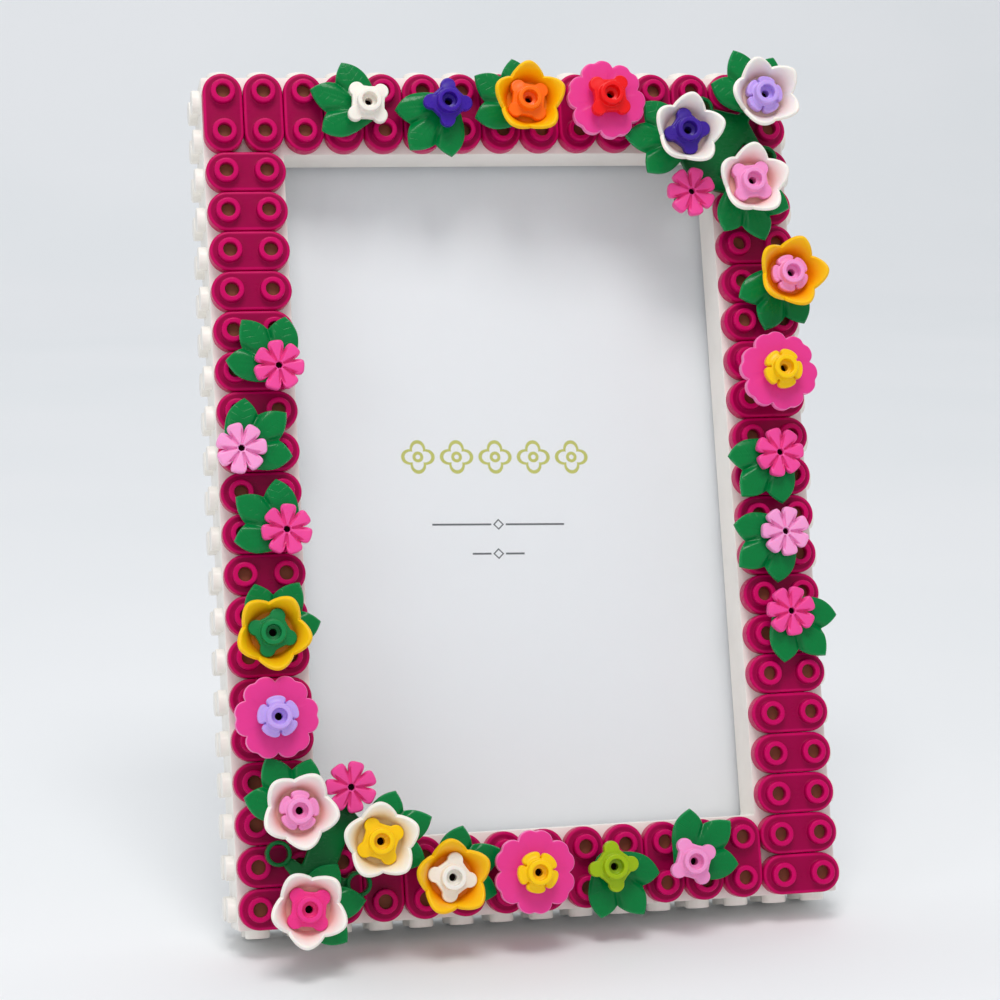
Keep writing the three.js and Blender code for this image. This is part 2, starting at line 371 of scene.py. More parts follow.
@dataclass
class Workshop:
    """Makes finished pieces out of shells.

    Attributes:
        plane: the face that the shells are measured on.
        made: how many pieces were made.
    """

    plane: FacePlane
    made: int = 0

    def mesh_of(self, name: str, shell: Shell) -> bpy.types.Mesh:
        """Turns a shell into a mesh in the row frame, with its guide attribute.

        Args:
            name: the mesh's name.
            shell: the surfaces, in face coordinates.

        Returns:
            The mesh.
        """
        mesh = bpy.data.meshes.new(name)
        mesh.from_pydata(self.plane.to_row(np.concatenate(shell.points)), [], shell.faces)
        mesh.polygons.foreach_set(
            "material_index", np.concatenate(shell.slots).astype(np.int32))
        guide = mesh.attributes.new("guide", "FLOAT_VECTOR", "POINT")
        guide.data.foreach_set(
            "vector", np.concatenate(shell.guides).astype(np.float32).ravel())
        return mesh

    def finish(self, name: str, mesh: bpy.types.Mesh, materials: list[bpy.types.Material],
               body: str, slot: str, stands_for: list[str], crease: float = 32.0,
               ) -> bpy.types.Object:
        """Turns a mesh into a piece that rides on its body.

        Args:
            name: the piece's name.
            mesh: its mesh, in the row frame.
            materials: the finishes, by material slot.
            body: the moving body that it belongs to.
            slot: a material slot's name; not used.
            stands_for: the plain solids that it replaces.
            crease: edges that turn by more than this many degrees stay sharp.

        Returns:
            The piece.
        """
        for material in materials:
            mesh.materials.append(material)
        mesh.polygons.foreach_set("use_smooth", np.ones(len(mesh.polygons), bool))
        mesh.set_sharp_from_angle(angle=math.radians(crease))
        mesh.update()
        piece = bpy.data.objects.new(name, mesh)
        bpy.context.scene.collection.objects.link(piece)
        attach(piece, body)
        if stands_for:
            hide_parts(*stands_for)
        self.made += 1
        LOG.info("%s: %d faces on %s", name, len(mesh.polygons), body)
        return piece

    def build(self, name: str, shell: Shell, materials: list[bpy.types.Material], body: str,
              slot: str, stands_for: list[str], crease: float = 32.0) -> bpy.types.Object:
        """Makes a piece straight from its shell; the arguments are those of finish."""
        mesh = self.mesh_of(name, shell)
        return self.finish(name, mesh, materials, body, slot, stands_for, crease)

    def shaped(self, mesh: bpy.types.Mesh,
               modifiers: list[tuple[str, dict[str, object]]]) -> bpy.types.Mesh:
        """Runs modifiers over a mesh.

        Args:
            mesh: the mesh to start from.
            modifiers: kind and settings of each modifier, in order.

        Returns:
            The result as a new mesh.
        """
        blank = bpy.data.objects.new("blank", mesh)
        bpy.context.scene.collection.objects.link(blank)
        for kind, settings in modifiers:
            modifier = blank.modifiers.new(kind.lower(), kind)
            for key, value in settings.items():
                setattr(modifier, key, value)
        bpy.context.view_layer.update()
        graph = bpy.context.evaluated_depsgraph_get()
        made = bpy.data.meshes.new_from_object(blank.evaluated_get(graph), depsgraph=graph)
        bpy.data.objects.remove(blank)
        return made


# ==== Finishes ====


class Graph:
    """Short-hand for wiring one node material."""

    def __init__(self, name: str) -> None:
        """Starts a material with nothing but its output.

        Args:
            name: the material's name.
        """
        self.material = bpy.data.materials.new(name)
        self.material.use_nodes = True
        self.tree = self.material.node_tree
        self.tree.nodes.clear()
        self.output = self.tree.nodes.new("ShaderNodeOutputMaterial")

    def node(self, kind: str, inputs: dict[str | int, object] | None = None,
             **settings: object) -> bpy.types.Node:
        """Adds a node.

        Args:
            kind: the node's type, without its ShaderNode prefix.
            inputs: sockets to set, or to link where the value is another node's socket.
            settings: the node's own properties.

        Returns:
            The node.
        """
        made = self.tree.nodes.new("ShaderNode" + kind)
        for key, value in settings.items():
            setattr(made, key, value)
        for key, value in (inputs or {}).items():
            if isinstance(value, Socket):
                self.tree.links.new(value, made.inputs[key])
            else:
                made.inputs[key].default_value = value
        return made

    def math(self, operation: str, *values: object) -> Socket:
        """The result of a Math node."""
        return self.node("Math", dict(enumerate(values)), operation=operation).outputs[0]

    def place(self) -> Socket:
        """Object coordinates in mm."""
        where = self.node("TexCoord").outputs["Object"]
        return self.node("Mapping", {"Vector": where, "Scale": (1 / MM,) * 3}).outputs[0]

    def guide(self) -> tuple[Socket, ...]:
        """The three numbers of the piece's guide."""
        mark = self.node("Attribute", attribute_name="guide").outputs["Vector"]
        return tuple(self.node("SeparateXYZ", {"Vector": mark}).outputs)

    def noise(self, at: Socket, scale: float, detail: float = 2.0,
              rough: float = 0.5) -> Socket:
        """Adds a noise pattern.

        Args:
            at: where it is read, in mm.
            scale: cells to the mm.
            detail: octaves.
            rough: strength of each finer octave.

        Returns:
            Its height, 0 to 1.
        """
        return self.node("TexNoise", {
            "Vector": at, "Scale": scale, "Detail": detail, "Roughness": rough,
        }).outputs[0]

    def ramp(self, value: object, low: float, high: float, to_low: float = 0.0,
             to_high: float = 1.0) -> Socket:
        """Carries a value smoothly from one range to another.

        Args:
            value: the value.
            low: where it starts to change.
            high: where it stops.
            to_low: the result up to low.
            to_high: the result from high on.

        Returns:
            The result.
        """
        return self.node("MapRange", {
            "Value": value, "From Min": low, "From Max": high,
            "To Min": to_low, "To Max": to_high,
        }, interpolation_type="SMOOTHSTEP").outputs[0]

    def blend(self, share: object, a: object, b: object,
              mode: str = "MIX") -> Socket:
        """Mixes two colours.

        Args:
            share: how much of b, 0 to 1.
            a: first colour or socket.
            b: second colour or socket.
            mode: the Mix node's blend type.

        Returns:
            The mixed colour.
        """
        paints = [(*c, 1.0) if isinstance(c, tuple) else c for c in (a, b)]
        mixer = self.node("Mix", data_type="RGBA", blend_type=mode)
        for socket, value in zip((mixer.inputs[0], mixer.inputs[6], mixer.inputs[7]),
                                 (share, *paints)):
            if isinstance(value, Socket):
                self.tree.links.new(value, socket)
            else:
                socket.default_value = value
        return mixer.outputs[2]

    def bump(self, height: object, distance: float, strength: float,
             under: Socket | None = None) -> Socket:
        """Adds a bump.

        Args:
            height: the height pattern.
            distance: its depth, in mm.
            strength: how much of it is used.
            under: the normal of a bump below this one, or None.

        Returns:
            The bumped normal.
        """
        sockets = {"Height": height, "Distance": distance * MM, "Strength": strength}
        if under is not None:
            sockets["Normal"] = under
        return self.node("Bump", sockets).outputs[0]

    def close(self, shader: bpy.types.Node) -> bpy.types.Material:
        """Joins the shader to the output and returns the finished material."""
        self.tree.links.new(shader.outputs[0], self.output.inputs["Surface"])
        return self.material


@dataclass(frozen=True)
class MouldedPlastic:
    """Glossy injection-moulded plastic.

    Attributes:
        name: material name.
        colour: the plastic's colour.
        low_guide_colour: colour where the guide is low, towards the middle of a cup or leaf,
            or None where it is even. Set against the plastic's colour where the guide is high,
            it paints light and shade: painted shade inside a cup, and a painted highlight on a
            plate's edges and studs and on a disc's rim.
        roughness: lowest and highest roughness over the surface.
        coat: weight of the polished skin.
        glow: how much light travels inside the plastic.
        gloss: strength of plain reflections.
    """

    name: str
    colour: Colour
    low_guide_colour: Colour | None = None
    roughness: tuple[float, float] = (0.26, 0.40)
    coat: float = 0.04
    glow: float = 0.0
    gloss: float = 0.22

    def tint(self, g: Graph, at: Socket) -> Socket:
        """Colour with slow cloudiness, and the low-guide colour where the guide is low, which
        paints light and shade.

        Args:
            g: the material being wired.
            at: Object coordinates in mm.

        Returns:
            The colour.
        """
        darker = tuple(c * 0.95 for c in self.colour)
        cloud = g.ramp(g.noise(at, 0.11, 3.0), 0.35, 0.7)
        base = g.blend(cloud, self.colour, darker)
        if self.low_guide_colour is None:
            return base
        # painted light and shade: the guide's first number blends the plain and low-guide
        # colours
        along = g.guide()[0]
        return g.blend(g.ramp(along, 0.40, 1.0, 1.0, 0.0), base, self.low_guide_colour)

    def relief(self, g: Graph, at: Socket) -> Socket:
        """Faint moulding ripple with a finer skin grain on top."""
        ripple = g.bump(g.noise(at, 0.55, 2.0), 0.05, 0.35)
        return g.bump(g.noise(at, 9.0, 2.0, 0.6), 0.006, 0.30, ripple)

    def material(self) -> bpy.types.Material:
        """Wires the finish, with handling scuffs in its roughness.

        Returns:
            The material.
        """
        g = Graph(self.name)
        at = g.place()
        streaks = g.node("Mapping", {"Vector": at, "Scale": (0.5, 4.0, 1.2),
                                     "Rotation": (0.4, 0.2, 0.7)}).outputs[0]
        scuff = g.math("MULTIPLY", g.noise(streaks, 1.1, 5.0, 0.65), g.noise(at, 0.3, 2.0))
        return g.close(g.node("BsdfPrincipled", {
            "Base Color": self.tint(g, at),
            "Roughness": g.ramp(scuff, 0.12, 0.42, *self.roughness),
            "Normal": self.relief(g, at),
            "Specular IOR Level": self.gloss,
            "Coat Weight": self.coat,
            "Coat Roughness": 0.12,
            "Subsurface Weight": self.glow,
            "Subsurface Scale": 0.0015,
        }))


@dataclass(frozen=True)
class LeafPlastic(MouldedPlastic):
    """Leaf green: a pale rim, which is a painted highlight, and slanting side veins.

    Attributes:
        rim: colour of the painted highlight along the edge.
    """

    rim: Colour = (0.1, 0.5, 0.2)

    def tint(self, g: Graph, at: Socket) -> Socket:
        """The plastic's colour, paler within the last tenth of the blade's edge, as a painted
        highlight along the rim.

        Args:
            g: the material being wired.
            at: Object coordinates in mm.

        Returns:
            The colour.
        """
        base = super().tint(g, at)
        edge = g.guide()[2]
        return g.blend(g.ramp(edge, 0.92, 1.0, 0.0, 0.35), base, self.rim)

    def relief(self, g: Graph, at: Socket) -> Socket:
        """Side veins where (along - 0.55 |across|) repeats, over the plain skin.

        Args:
            g: the material being wired.
            at: Object coordinates in mm.

        Returns:
            The bumped normal.
        """
        along, across, _ = g.guide()
        skew = g.math("SUBTRACT", along, g.math("MULTIPLY", g.math("ABSOLUTE", across), 0.55))
        wave = g.math("ABSOLUTE", g.math("SINE", g.math("MULTIPLY", skew, 2.1)))
        vein = g.ramp(wave, 0.0, 0.30)
        return g.bump(vein, 0.05, 0.5, super().relief(g, at))


@dataclass(frozen=True)
class PrintedCard:
    """Pale card with a printed ornament: a row of line flowers over two thin rules.

    Attributes:
        plane: the face that the print is laid out on.
        name: material name.
        paper: the card's colour.
        olive: ink of the flowers.
        ink: ink of the rules.
        slope: how much the rows fall to the right.
    """

    plane: FacePlane
    name: str = "printed_card"
    paper: Colour = shade(249, 247, 250)
    olive: Colour = shade(196, 194, 62)
    ink: Colour = shade(70, 70, 74)
    slope: float = 0.03

    def face_axes(self, g: Graph) -> tuple[Socket, Socket]:
        """Works out face coordinates, from dot products with the face's own directions.

        Args:
            g: the material being wired.

        Returns:
            Face x and y in mm, with y falling along the print's slope.
        """
        at = g.place()
        found = []
        for axis in self.plane.axes.T[:2]:
            dot = g.node("VectorMath", {0: at, 1: tuple(axis)},
                         operation="DOT_PRODUCT").outputs["Value"]
            found.append(g.math("SUBTRACT", dot, float(np.dot(axis, self.plane.anchor))))
        x, y = found
        return x, g.math("ADD", y, g.math("MULTIPLY", x, self.slope))

    def rule(self, g: Graph, x: object, y: object, centre: tuple[float, float],
             half: float) -> Socket:
        """A thin level rule, with a small open diamond in its middle.

        Args:
            g: the material being wired.
            x: face x.
            y: face y.
            centre: its middle.
            half: half its length.

        Returns:
            1 on the rule and 0 off it.
        """
        dx = g.math("ABSOLUTE", g.math("SUBTRACT", x, centre[0]))
        dy = g.math("ABSOLUTE", g.math("SUBTRACT", y, centre[1]))
        bar = g.math("MULTIPLY", g.ramp(dy, 0.16, 0.24, 1.0, 0.0),
                     g.math("MULTIPLY", g.math("LESS_THAN", dx, half),
                            g.math("GREATER_THAN", dx, 1.5)))
        ring = g.math("ABSOLUTE", g.math("SUBTRACT", g.math("ADD", dx, dy), 0.95))
        return g.math("MAXIMUM", bar, g.ramp(ring, 0.14, 0.24, 1.0, 0.0))

    def flowers(self, g: Graph, x: object, y: object) -> Socket:
        """Five flowers 8 mm apart, each the curve r = 1.9 + 1.2 |cos 2a| with an eye.

        Args:
            g: the material being wired.
            x: face x.
            y: face y.

        Returns:
            1 on the flowers' lines and 0 off them.
        """
        step = g.math("SUBTRACT", g.math("PINGPONG", g.math("ADD", x, 22.3 + 80.0), 4.0), 4.0)
        dy = g.math("SUBTRACT", y, 7.5)
        radius = g.math("SQRT", g.math("ADD", g.math("MULTIPLY", step, step),
                                       g.math("MULTIPLY", dy, dy)))
        angle = g.math("ARCTAN2", dy, step)
        petal = g.math("ABSOLUTE", g.math("COSINE", g.math("MULTIPLY", angle, 2.0)))
        reach = g.math("ADD", g.math("MULTIPLY", petal, 1.2), 1.9)
        line = g.ramp(g.math("ABSOLUTE", g.math("SUBTRACT", radius, reach)), 0.30, 0.44, 1, 0)
        eye = g.ramp(g.math("ABSOLUTE", g.math("SUBTRACT", radius, 0.80)), 0.26, 0.38, 1, 0)
        within = g.math("LESS_THAN", g.math("ABSOLUTE", g.math("ADD", x, 2.3)), 20.0)
        return g.math("MULTIPLY", g.math("MAXIMUM", line, eye), within)

    def material(self) -> bpy.types.Material:
        """Wires the card, with paper fibre in its colour and height.

        Returns:
            The material.
        """
        g = Graph(self.name)
        at = g.place()
        x, y = self.face_axes(g)
        fibre = g.noise(at, 3.0, 4.0, 0.7)
        paper = g.blend(g.ramp(fibre, 0.3, 0.7), self.paper,
                        tuple(c * 0.96 for c in self.paper))
        green = g.blend(self.flowers(g, x, y), paper, self.olive)
        rules = g.math("MAXIMUM", self.rule(g, x, y, (-2.4, -6.4), 13.7),
                       self.rule(g, x, y, (-2.7, -12.4), 5.4))
        return g.close(g.node("BsdfPrincipled", {
            "Base Color": g.blend(rules, green, self.ink),
            "Roughness": g.ramp(g.noise(at, 0.6, 3.0), 0.3, 0.7, 0.50, 0.62),
            "Normal": g.bump(fibre, 0.004, 0.25),
        }))


@dataclass(frozen=True)
class ClearSheet:
    """Thin clear window with a faint haze and a few wipe marks.

    Attributes:
        name: material name.
        haze: share of the light that the skin catches.
    """

    name: str = "clear_sheet"
    haze: float = 0.06

    def material(self) -> bpy.types.Material:
        """Mostly see-through, with a smooth skin that catches the lamps.

        Returns:
            The material.
        """
        g = Graph(self.name)
        at = g.place()
        wipe = g.node("Mapping", {"Vector": at, "Scale": (0.02, 0.3, 0.3),
                                  "Rotation": (0.0, 0.0, 0.5)}).outputs[0]
        skin = g.node("BsdfPrincipled", {
            "Base Color": (0.93, 0.95, 0.96, 1.0),
            "Roughness": g.ramp(g.noise(wipe, 1.0, 4.0), 0.3, 0.7, 0.06, 0.14),
            "Normal": g.bump(g.noise(at, 0.04, 2.0), 0.02, 0.2),
        })
        clear = g.node("BsdfTransparent", {"Color": (0.97, 0.98, 0.98, 1.0)})
        return g.close(g.node("MixShader", {
            0: self.haze, 1: clear.outputs[0], 2: skin.outputs[0]}))


@dataclass(frozen=True)
class GrainedBoard:
    """Matt moulded board of the back: a fine leather-like grain.

    Attributes:
        name: material name.
        colour: the board's colour.
        grain: cells to the mm.
    """

    name: str
    colour: Colour
    grain: float = 1.6

    def material(self) -> bpy.types.Material:
        """Cells of grain in the height and roughness, slow dust in the colour.

        Returns:
            The material.
        """
        g = Graph(self.name)
        at = g.place()
        cells = g.node("TexVoronoi", {"Vector": at, "Scale": self.grain},
                       feature="DISTANCE_TO_EDGE").outputs["Distance"]
        pebble = g.ramp(cells, 0.0, 0.25)
        dust = g.ramp(g.noise(at, 0.05, 4.0, 0.6), 0.3, 0.7)
        return g.close(g.node("BsdfPrincipled", {
            "Base Color": g.blend(dust, self.colour, tuple(c * 0.95 for c in self.colour)),
            "Roughness": g.ramp(pebble, 0.0, 1.0, 0.68, 0.5),
            "Normal": g.bump(pebble, 0.05, 0.5, g.bump(g.noise(at, 6.0, 2.0), 0.01, 0.4)),
        }))


@dataclass(frozen=True)
class DrawnSteel:
    """Drawn steel wire, with lines along its length.

    Attributes:
        name: material name.
    """

    name: str = "drawn_steel"

    def material(self) -> bpy.types.Material:
        """Metal with stretched noise for the drawing lines.

        Returns:
            The material.
        """
        g = Graph(self.name)
        lines = g.node("Mapping", {"Vector": g.place(), "Scale": (0.15, 9.0, 9.0)}).outputs[0]
        drawn = g.noise(lines, 1.0, 4.0, 0.6)
        return g.close(g.node("BsdfPrincipled", {
            "Base Color": g.blend(drawn, (0.62, 0.63, 0.65), (0.48, 0.49, 0.51)),
            "Metallic": 1.0,
            "Roughness": g.ramp(drawn, 0.3, 0.7, 0.22, 0.42),
            "Normal": g.bump(drawn, 0.01, 0.4),
        }))


class Petal(Enum):
    """Colours that the small flowers and daisies are moulded in."""

    WHITE = shade(246, 240, 230)
    INDIGO = shade(62, 24, 160)
    ORANGE = shade(252, 112, 10)
    RED = shade(240, 18, 22)
    PURPLE = shade(62, 30, 150)
    LAVENDER = shade(196, 164, 240)
    LIGHT_PINK = shade(246, 152, 208)
    ROSE = shade(242, 74, 156)
    BLUSH = shade(250, 160, 214)
    MAGENTA = shade(242, 54, 142)
    YELLOW = shade(254, 204, 6)
    GREEN = shade(14, 132, 70)
    LIME = shade(158, 188, 14)


class Bowl(Enum):
    """Rim and inner colours of the cups, and of the scalloped discs. A cup's inner colour is
    painted shade and bounced colour inside the bowl and round its foot; a disc's paler rim
    colour is a painted highlight on its edge.
    """

    WHITE = (shade(252, 246, 238), shade(238, 206, 192))
    CREAM = (shade(252, 246, 234), shade(236, 208, 152))
    PINKISH = (shade(252, 245, 238), shade(244, 190, 176))
    GOLD = (shade(255, 196, 8), shade(244, 138, 0))
    YELLOW = (shade(254, 200, 10), shade(238, 142, 12))
    HOT_PINK = (shade(248, 122, 186), shade(232, 58, 146))


@dataclass
class Palette:
    """Every finish, made once and shared.

    Attributes:
        plane: the face that the printed card is laid out on.
        made: the materials so far, by name.
    """

    plane: FacePlane
    made: dict[str, bpy.types.Material] = field(default_factory=dict)

    def __post_init__(self) -> None:
        """Makes the finishes that are not petals."""
        # painted highlight along the leaves' edges
        rim = shade(40, 170, 100)
        finishes = [
            MouldedPlastic("frame_white", shade(247, 243, 236), roughness=(0.30, 0.46)),
            # painted highlight: edges and stud tops keep the lighter colour, flat tops take
            # the darker low-guide colour
            MouldedPlastic("plate_magenta", shade(206, 4, 98), low_guide_colour=shade(156, 0, 70),
                           coat=0.02, gloss=0.10),
            # painted shade: the brown stands for the shaded bottom of a stud's bore
            MouldedPlastic("bore_floor_shade", shade(150, 92, 66), roughness=(0.5, 0.7), coat=0.0),
            LeafPlastic("leaf_green", shade(0, 122, 58), roughness=(0.16, 0.26), coat=0.12,
                        gloss=0.14, rim=rim),
            MouldedPlastic("branch_green", shade(0, 104, 48), roughness=(0.2, 0.34),
                           coat=0.04, gloss=0.22),
            # near black painted shade for the bottom of a flower's hole
            MouldedPlastic("hole_shade", shade(30, 8, 14), roughness=(0.5, 0.7), coat=0.0,
                           gloss=0.05),
            GrainedBoard("back_board", shade(222, 220, 214)),
            GrainedBoard("button_plastic", shade(206, 204, 200), 2.4),
            DrawnSteel(),
            ClearSheet(),
            PrintedCard(self.plane),
        ]
        for finish in finishes:
            self.made[finish.name] = finish.material()

    def get(self, name: str) -> bpy.types.Material:
        """A finish by name."""
        return self.made[name]

    def once(self, finish: MouldedPlastic) -> bpy.types.Material:
        """A finish's material, made the first time that it is asked for."""
        if finish.name not in self.made:
            self.made[finish.name] = finish.material()
        return self.made[finish.name]

    def petal(self, colour: Petal) -> bpy.types.Material:
        """The plastic of a small flower."""
        return self.once(MouldedPlastic("petal_" + colour.name.lower(), colour.value,
                                        roughness=(0.26, 0.42), glow=0.12))

    def bowl(self, colour: Bowl) -> bpy.types.Material:
        """The plastic of a cup or a scalloped disc, whose two colours paint light and shade.
        """
        # a cup's inner colour is its painted shade, a disc's rim colour its painted highlight
        rim, inner = colour.value
        return self.once(MouldedPlastic("bowl_" + colour.name.lower(), rim, low_guide_colour=inner,
                                        roughness=(0.28, 0.44), glow=0.12))


# ==== Frame and border ====


@dataclass
class Maker:
    """What every sub-assembly needs.

    Attributes:
        shop: makes the pieces.
        palette: the finishes.
    """

    shop: Workshop
    palette: Palette


@dataclass
class MouldedFrame(Maker):
    """White frame: a rectangular ring with a stepped pocket behind and studs on its edges.

    Attributes:
        size: outer width and height.
        opening: width and height of the picture opening.
        pocket: width and height of the pocket behind it.
        depth: from front to back.
        wall: thickness in front of the pocket.
        edge: rounding of the long edges.
        studs: studs across and up.
        pin_bore: radius of the holes for the turn buttons' pins.
    """

    size: tuple[float, float] = (120.0, 168.0)
    opening: tuple[float, float] = (88.0, 136.0)
    pocket: tuple[float, float] = (103.4, 154.4)
    depth: float = 16.0
    wall: float = 9.6
    edge: float = 0.4
    studs: tuple[int, int] = (15, 21)
    pin_bore: float = 1.8

    def ring(self) -> Shell:
        """The body: rectangles carried round its rounded cross-section.

        Returns:
            The closed ring.
        """
        wide, tall = self.size
        section = [
            (wide, tall, -self.depth / 2), (wide, tall, 0.0), (*self.opening, 0.0),
            (*self.opening, -self.wall), (*self.pocket, -self.wall),
            (*self.pocket, -self.depth), (wide, tall, -self.depth),
            (wide, tall, -self.depth / 2),
        ]
        e = self.edge
        profile = rounded(section, [e, e, 0.3, 0.2, e, e])[:-1]
        return Shell().skin([rectangle(w, h, out, e) for w, h, out in profile], Ends.RING)

    def edge_studs(self) -> Shell:
        """Round studs in two rows through the depth, on all four outer edges.

        Returns:
            A shell to each stud, turned to face out of its edge.
        """
        side = rounded([(STUD_RADIUS, -0.4), (STUD_RADIUS, STUD_HEIGHT),
                        (1.2, STUD_HEIGHT)], [0.35], 3)
        loops = rings(side, even_angles(20))
        half_w, half_h = self.size[0] / 2, self.size[1] / 2
        across, up = self.studs
        ways = [
            (np.array([[0, 0, 1], [0, 1, 0], [-1, 0, 0]]), up, half_w, True),
            (np.array([[0, 0, -1], [0, 1, 0], [1, 0, 0]]), up, -half_w, True),
            (np.array([[1, 0, 0], [0, 0, 1], [0, -1, 0]]), across, half_h, False),
            (np.array([[1, 0, 0], [0, 0, -1], [0, 1, 0]]), across, -half_h, False),
        ]
        shell = Shell()
        for turn, count, reach, upright in ways:
            for out in (-PITCH / 2, -1.5 * PITCH):
                for i in range(1, count + 1):
                    x, y = stud_place(i, i)
                    spot = [reach, y, out] if upright else [x, reach, out]
                    shell.skin(loops @ turn.T + np.array(spot))
        return shell

    def button_bores(self) -> Shell:
        """Round cutters for the two holes that the turn buttons' pins sit in.

        Returns:
            Two level cylinders.
        """
        shell = Shell()
        outline = circle(self.pin_bore, even_angles(32))
        for side in (-1, 1):
            x = side * (self.pocket[0] / 2 + self.size[0] / 2) / 2
            shell.skin([lift(outline + np.array([x, 0]), out) for out in (-20.0, -11.0)])
        return shell

    def build(self) -> None:
        """Cuts the bores, adds the studs and finishes the frame."""
        bores = self.shop.mesh_of("cutter", self.button_bores())
        cutter = bpy.data.objects.new("cutter", bores)
        bpy.context.scene.collection.objects.link(cutter)
        body = self.shop.mesh_of("ring", self.ring())
        cut = self.shop.shaped(body, [("BOOLEAN", {
            "object": cutter, "operation": "DIFFERENCE", "solver": "EXACT"})])
        bpy.data.objects.remove(cutter)
        work = bmesh.new()
        work.from_mesh(cut)
        work.from_mesh(self.shop.mesh_of("studs", self.edge_studs()))
        work.to_mesh(cut)
        work.free()
        self.shop.finish("moulded_frame", cut, [self.palette.get("frame_white")], "frame",
                         "frame_white", ["frame_body"])


class Lie(Enum):
    """Which way a plate lies on the border."""

    UPRIGHT = 90.0
    LEVEL = 0.0


@dataclass
class BorderPlates(Maker):
    """Round-ended plates with two open studs, laid side by side round the picture.

    Attributes:
        length: of one plate.
        width: of one plate.
        top: height of its flat top.
        floor: height of the floor in a stud's bore.
        bore: radius of the bore.
        shoulder: distance from the edge, and radius round a stud, where the top is flat.
    """

    length: float = 15.86
    width: float = 7.86
    top: float = 3.2
    floor: float = 2.9
    bore: float = 1.4
    shoulder: tuple[float, float] = (0.9, 3.0)

    @property
    def reach(self) -> float:
        """Distance from the plate's middle to each stud."""
        return (self.length - self.width) / 2

    def half_outline(self, shrink: float) -> Array:
        """Half a plate about one stud: a half circle, then straight sides to the middle.

        Args:
            shrink: how far inside the plate's edge.

        Returns:
            The outline, which starts below the stud.
        """
        r = self.width / 2 - shrink
        sides = np.linspace(0, -self.reach, 7)[1:]
        ends = np.linspace(r, -r, 10)[1:-1]
        arc = circle(r, np.linspace(-math.pi / 2, math.pi / 2, 25))
        upper = np.stack([sides, np.full(len(sides), r)], -1)
        middle = np.stack([np.full(len(ends), -self.reach), ends], -1)
        lower = np.stack([sides[::-1], np.full(len(sides), -r)], -1)
        return np.concatenate([arc, upper, middle, lower])

    def half(self) -> tuple[Array, Array]:
        """Loops from the underside over the top, up the stud and down its bore.

        Returns:
            The loops, and their guides: high on edges and studs, which the finish paints
                lighter as a painted highlight, and low on the flat top.
        """
        base = self.half_outline(0.0)
        angles = np.arctan2(base[:, 1], base[:, 0])
        shelf, foot = self.shoulder
        side = rounded([(0.5, 0.03), (0.0, 0.03), (0.0, self.top), (shelf, self.top)],
                       [0.15, 0.52], 4)
        rise = self.top + STUD_HEIGHT
        stud = rounded([(foot, self.top), (STUD_RADIUS, self.top), (STUD_RADIUS, rise),
                        (self.bore, rise), (self.bore, self.floor + 0.02)],
                       [0.26, 0.36, 0.20], 4)
        loops = [lift(self.half_outline(d), out) for d, out in side]
        # guides: edges 0.85 and stud tops 0.9 take the painted highlight, the flat top 0.15
        # the plain darker colour
        marks = [0.85] * (len(loops) - 1) + [0.15]
        loops.append(lift(0.5 * (self.half_outline(shelf) + circle(foot, angles)), self.top))
        loops += list(rings(stud[1:], angles))
        marks += [0.15] + [0.50 + 0.4 * (out > self.top + 0.8) for _, out in stud[1:]]
        guide = np.zeros((len(loops), len(base), 3))
        guide[..., 0] = np.array(marks)[:, None]
        return np.stack(loops), guide

    def shell(self) -> Shell:
        """Both halves and the two bore floors, about the plate's own middle.

        Returns:
            The shell, with the floors on the second material slot, painted brown as the shade
            and bounced magenta at the bottom of the bore.
        """
        loops, guide = self.half()
        spot = np.array([self.reach, 0, 0])
        wide = self.bore + 0.02
        # floor of the bore, painted brown as shade
        floor = rings(rounded([(wide, self.floor - 0.3), (wide, self.floor + 0.06),
                               (0.5, self.floor + 0.06)], [0.05], 2), even_angles(20))
        shell = Shell()
        for turn in (0.0, 180.0):
            shell.skin(turned(loops + spot, turn), guides=guide)
            shell.skin(turned(floor + spot, turn), slot=1)
        return shell

    def plate(self, name: str, x: float, y: float, lie: Lie, node: str) -> None:
        """Makes one plate, with the wall between its two halves taken out.

        Args:
            name: the piece's name.
            x: face position of its middle.
            y: the same, up the face.
            lie: which way it lies.
            node: the plain run of plates that it replaces.
        """
        mesh = self.shop.mesh_of(name, self.shell())
        work = bmesh.new()
        work.from_mesh(mesh)
        anchor = Vector(self.shop.plane.anchor) * MM
        inner = [f for f in work.faces
                 if all(abs(v.co.x - anchor.x) < WELD for v in f.verts)]
        bmesh.ops.delete(work, geom=inner, context="FACES")
        bmesh.ops.remove_doubles(work, verts=work.verts, dist=WELD)
        axes = Matrix(self.shop.plane.axes.tolist()).to_4x4()
        spin = Matrix.Rotation(math.radians(lie.value), 4, "Z")
        there = (Matrix.Translation(anchor) @ axes @ Matrix.Translation((x * MM, y * MM, 0))
                 @ spin @ axes.inverted() @ Matrix.Translation(-anchor))
        bmesh.ops.transform(work, matrix=there, verts=work.verts)
        work.to_mesh(mesh)
        work.free()
        finishes = [self.palette.get("plate_magenta"), self.palette.get("bore_floor_shade")]
        self.shop.finish(name, mesh, finishes, "frame", "plate_magenta", [node])

    def build(self) -> None:
        """Lays the four runs of plates."""
        runs = [("top", range(1, 14), 1.5, Lie.UPRIGHT),
                ("bottom", range(3, 14), 20.5, Lie.UPRIGHT),
                ("left", range(3, 22), 1.5, Lie.LEVEL),
                ("right", range(1, 22), 14.5, Lie.LEVEL)]
        for side, places, fixed, lie in runs:
            for i in places:
                x, y = stud_place(i, fixed) if lie is Lie.UPRIGHT else stud_place(fixed, i)
                self.plate(f"plate_{side}_{i:02d}", x, y, lie, f"plates_{side}")


# ==== Leaves and branches ====


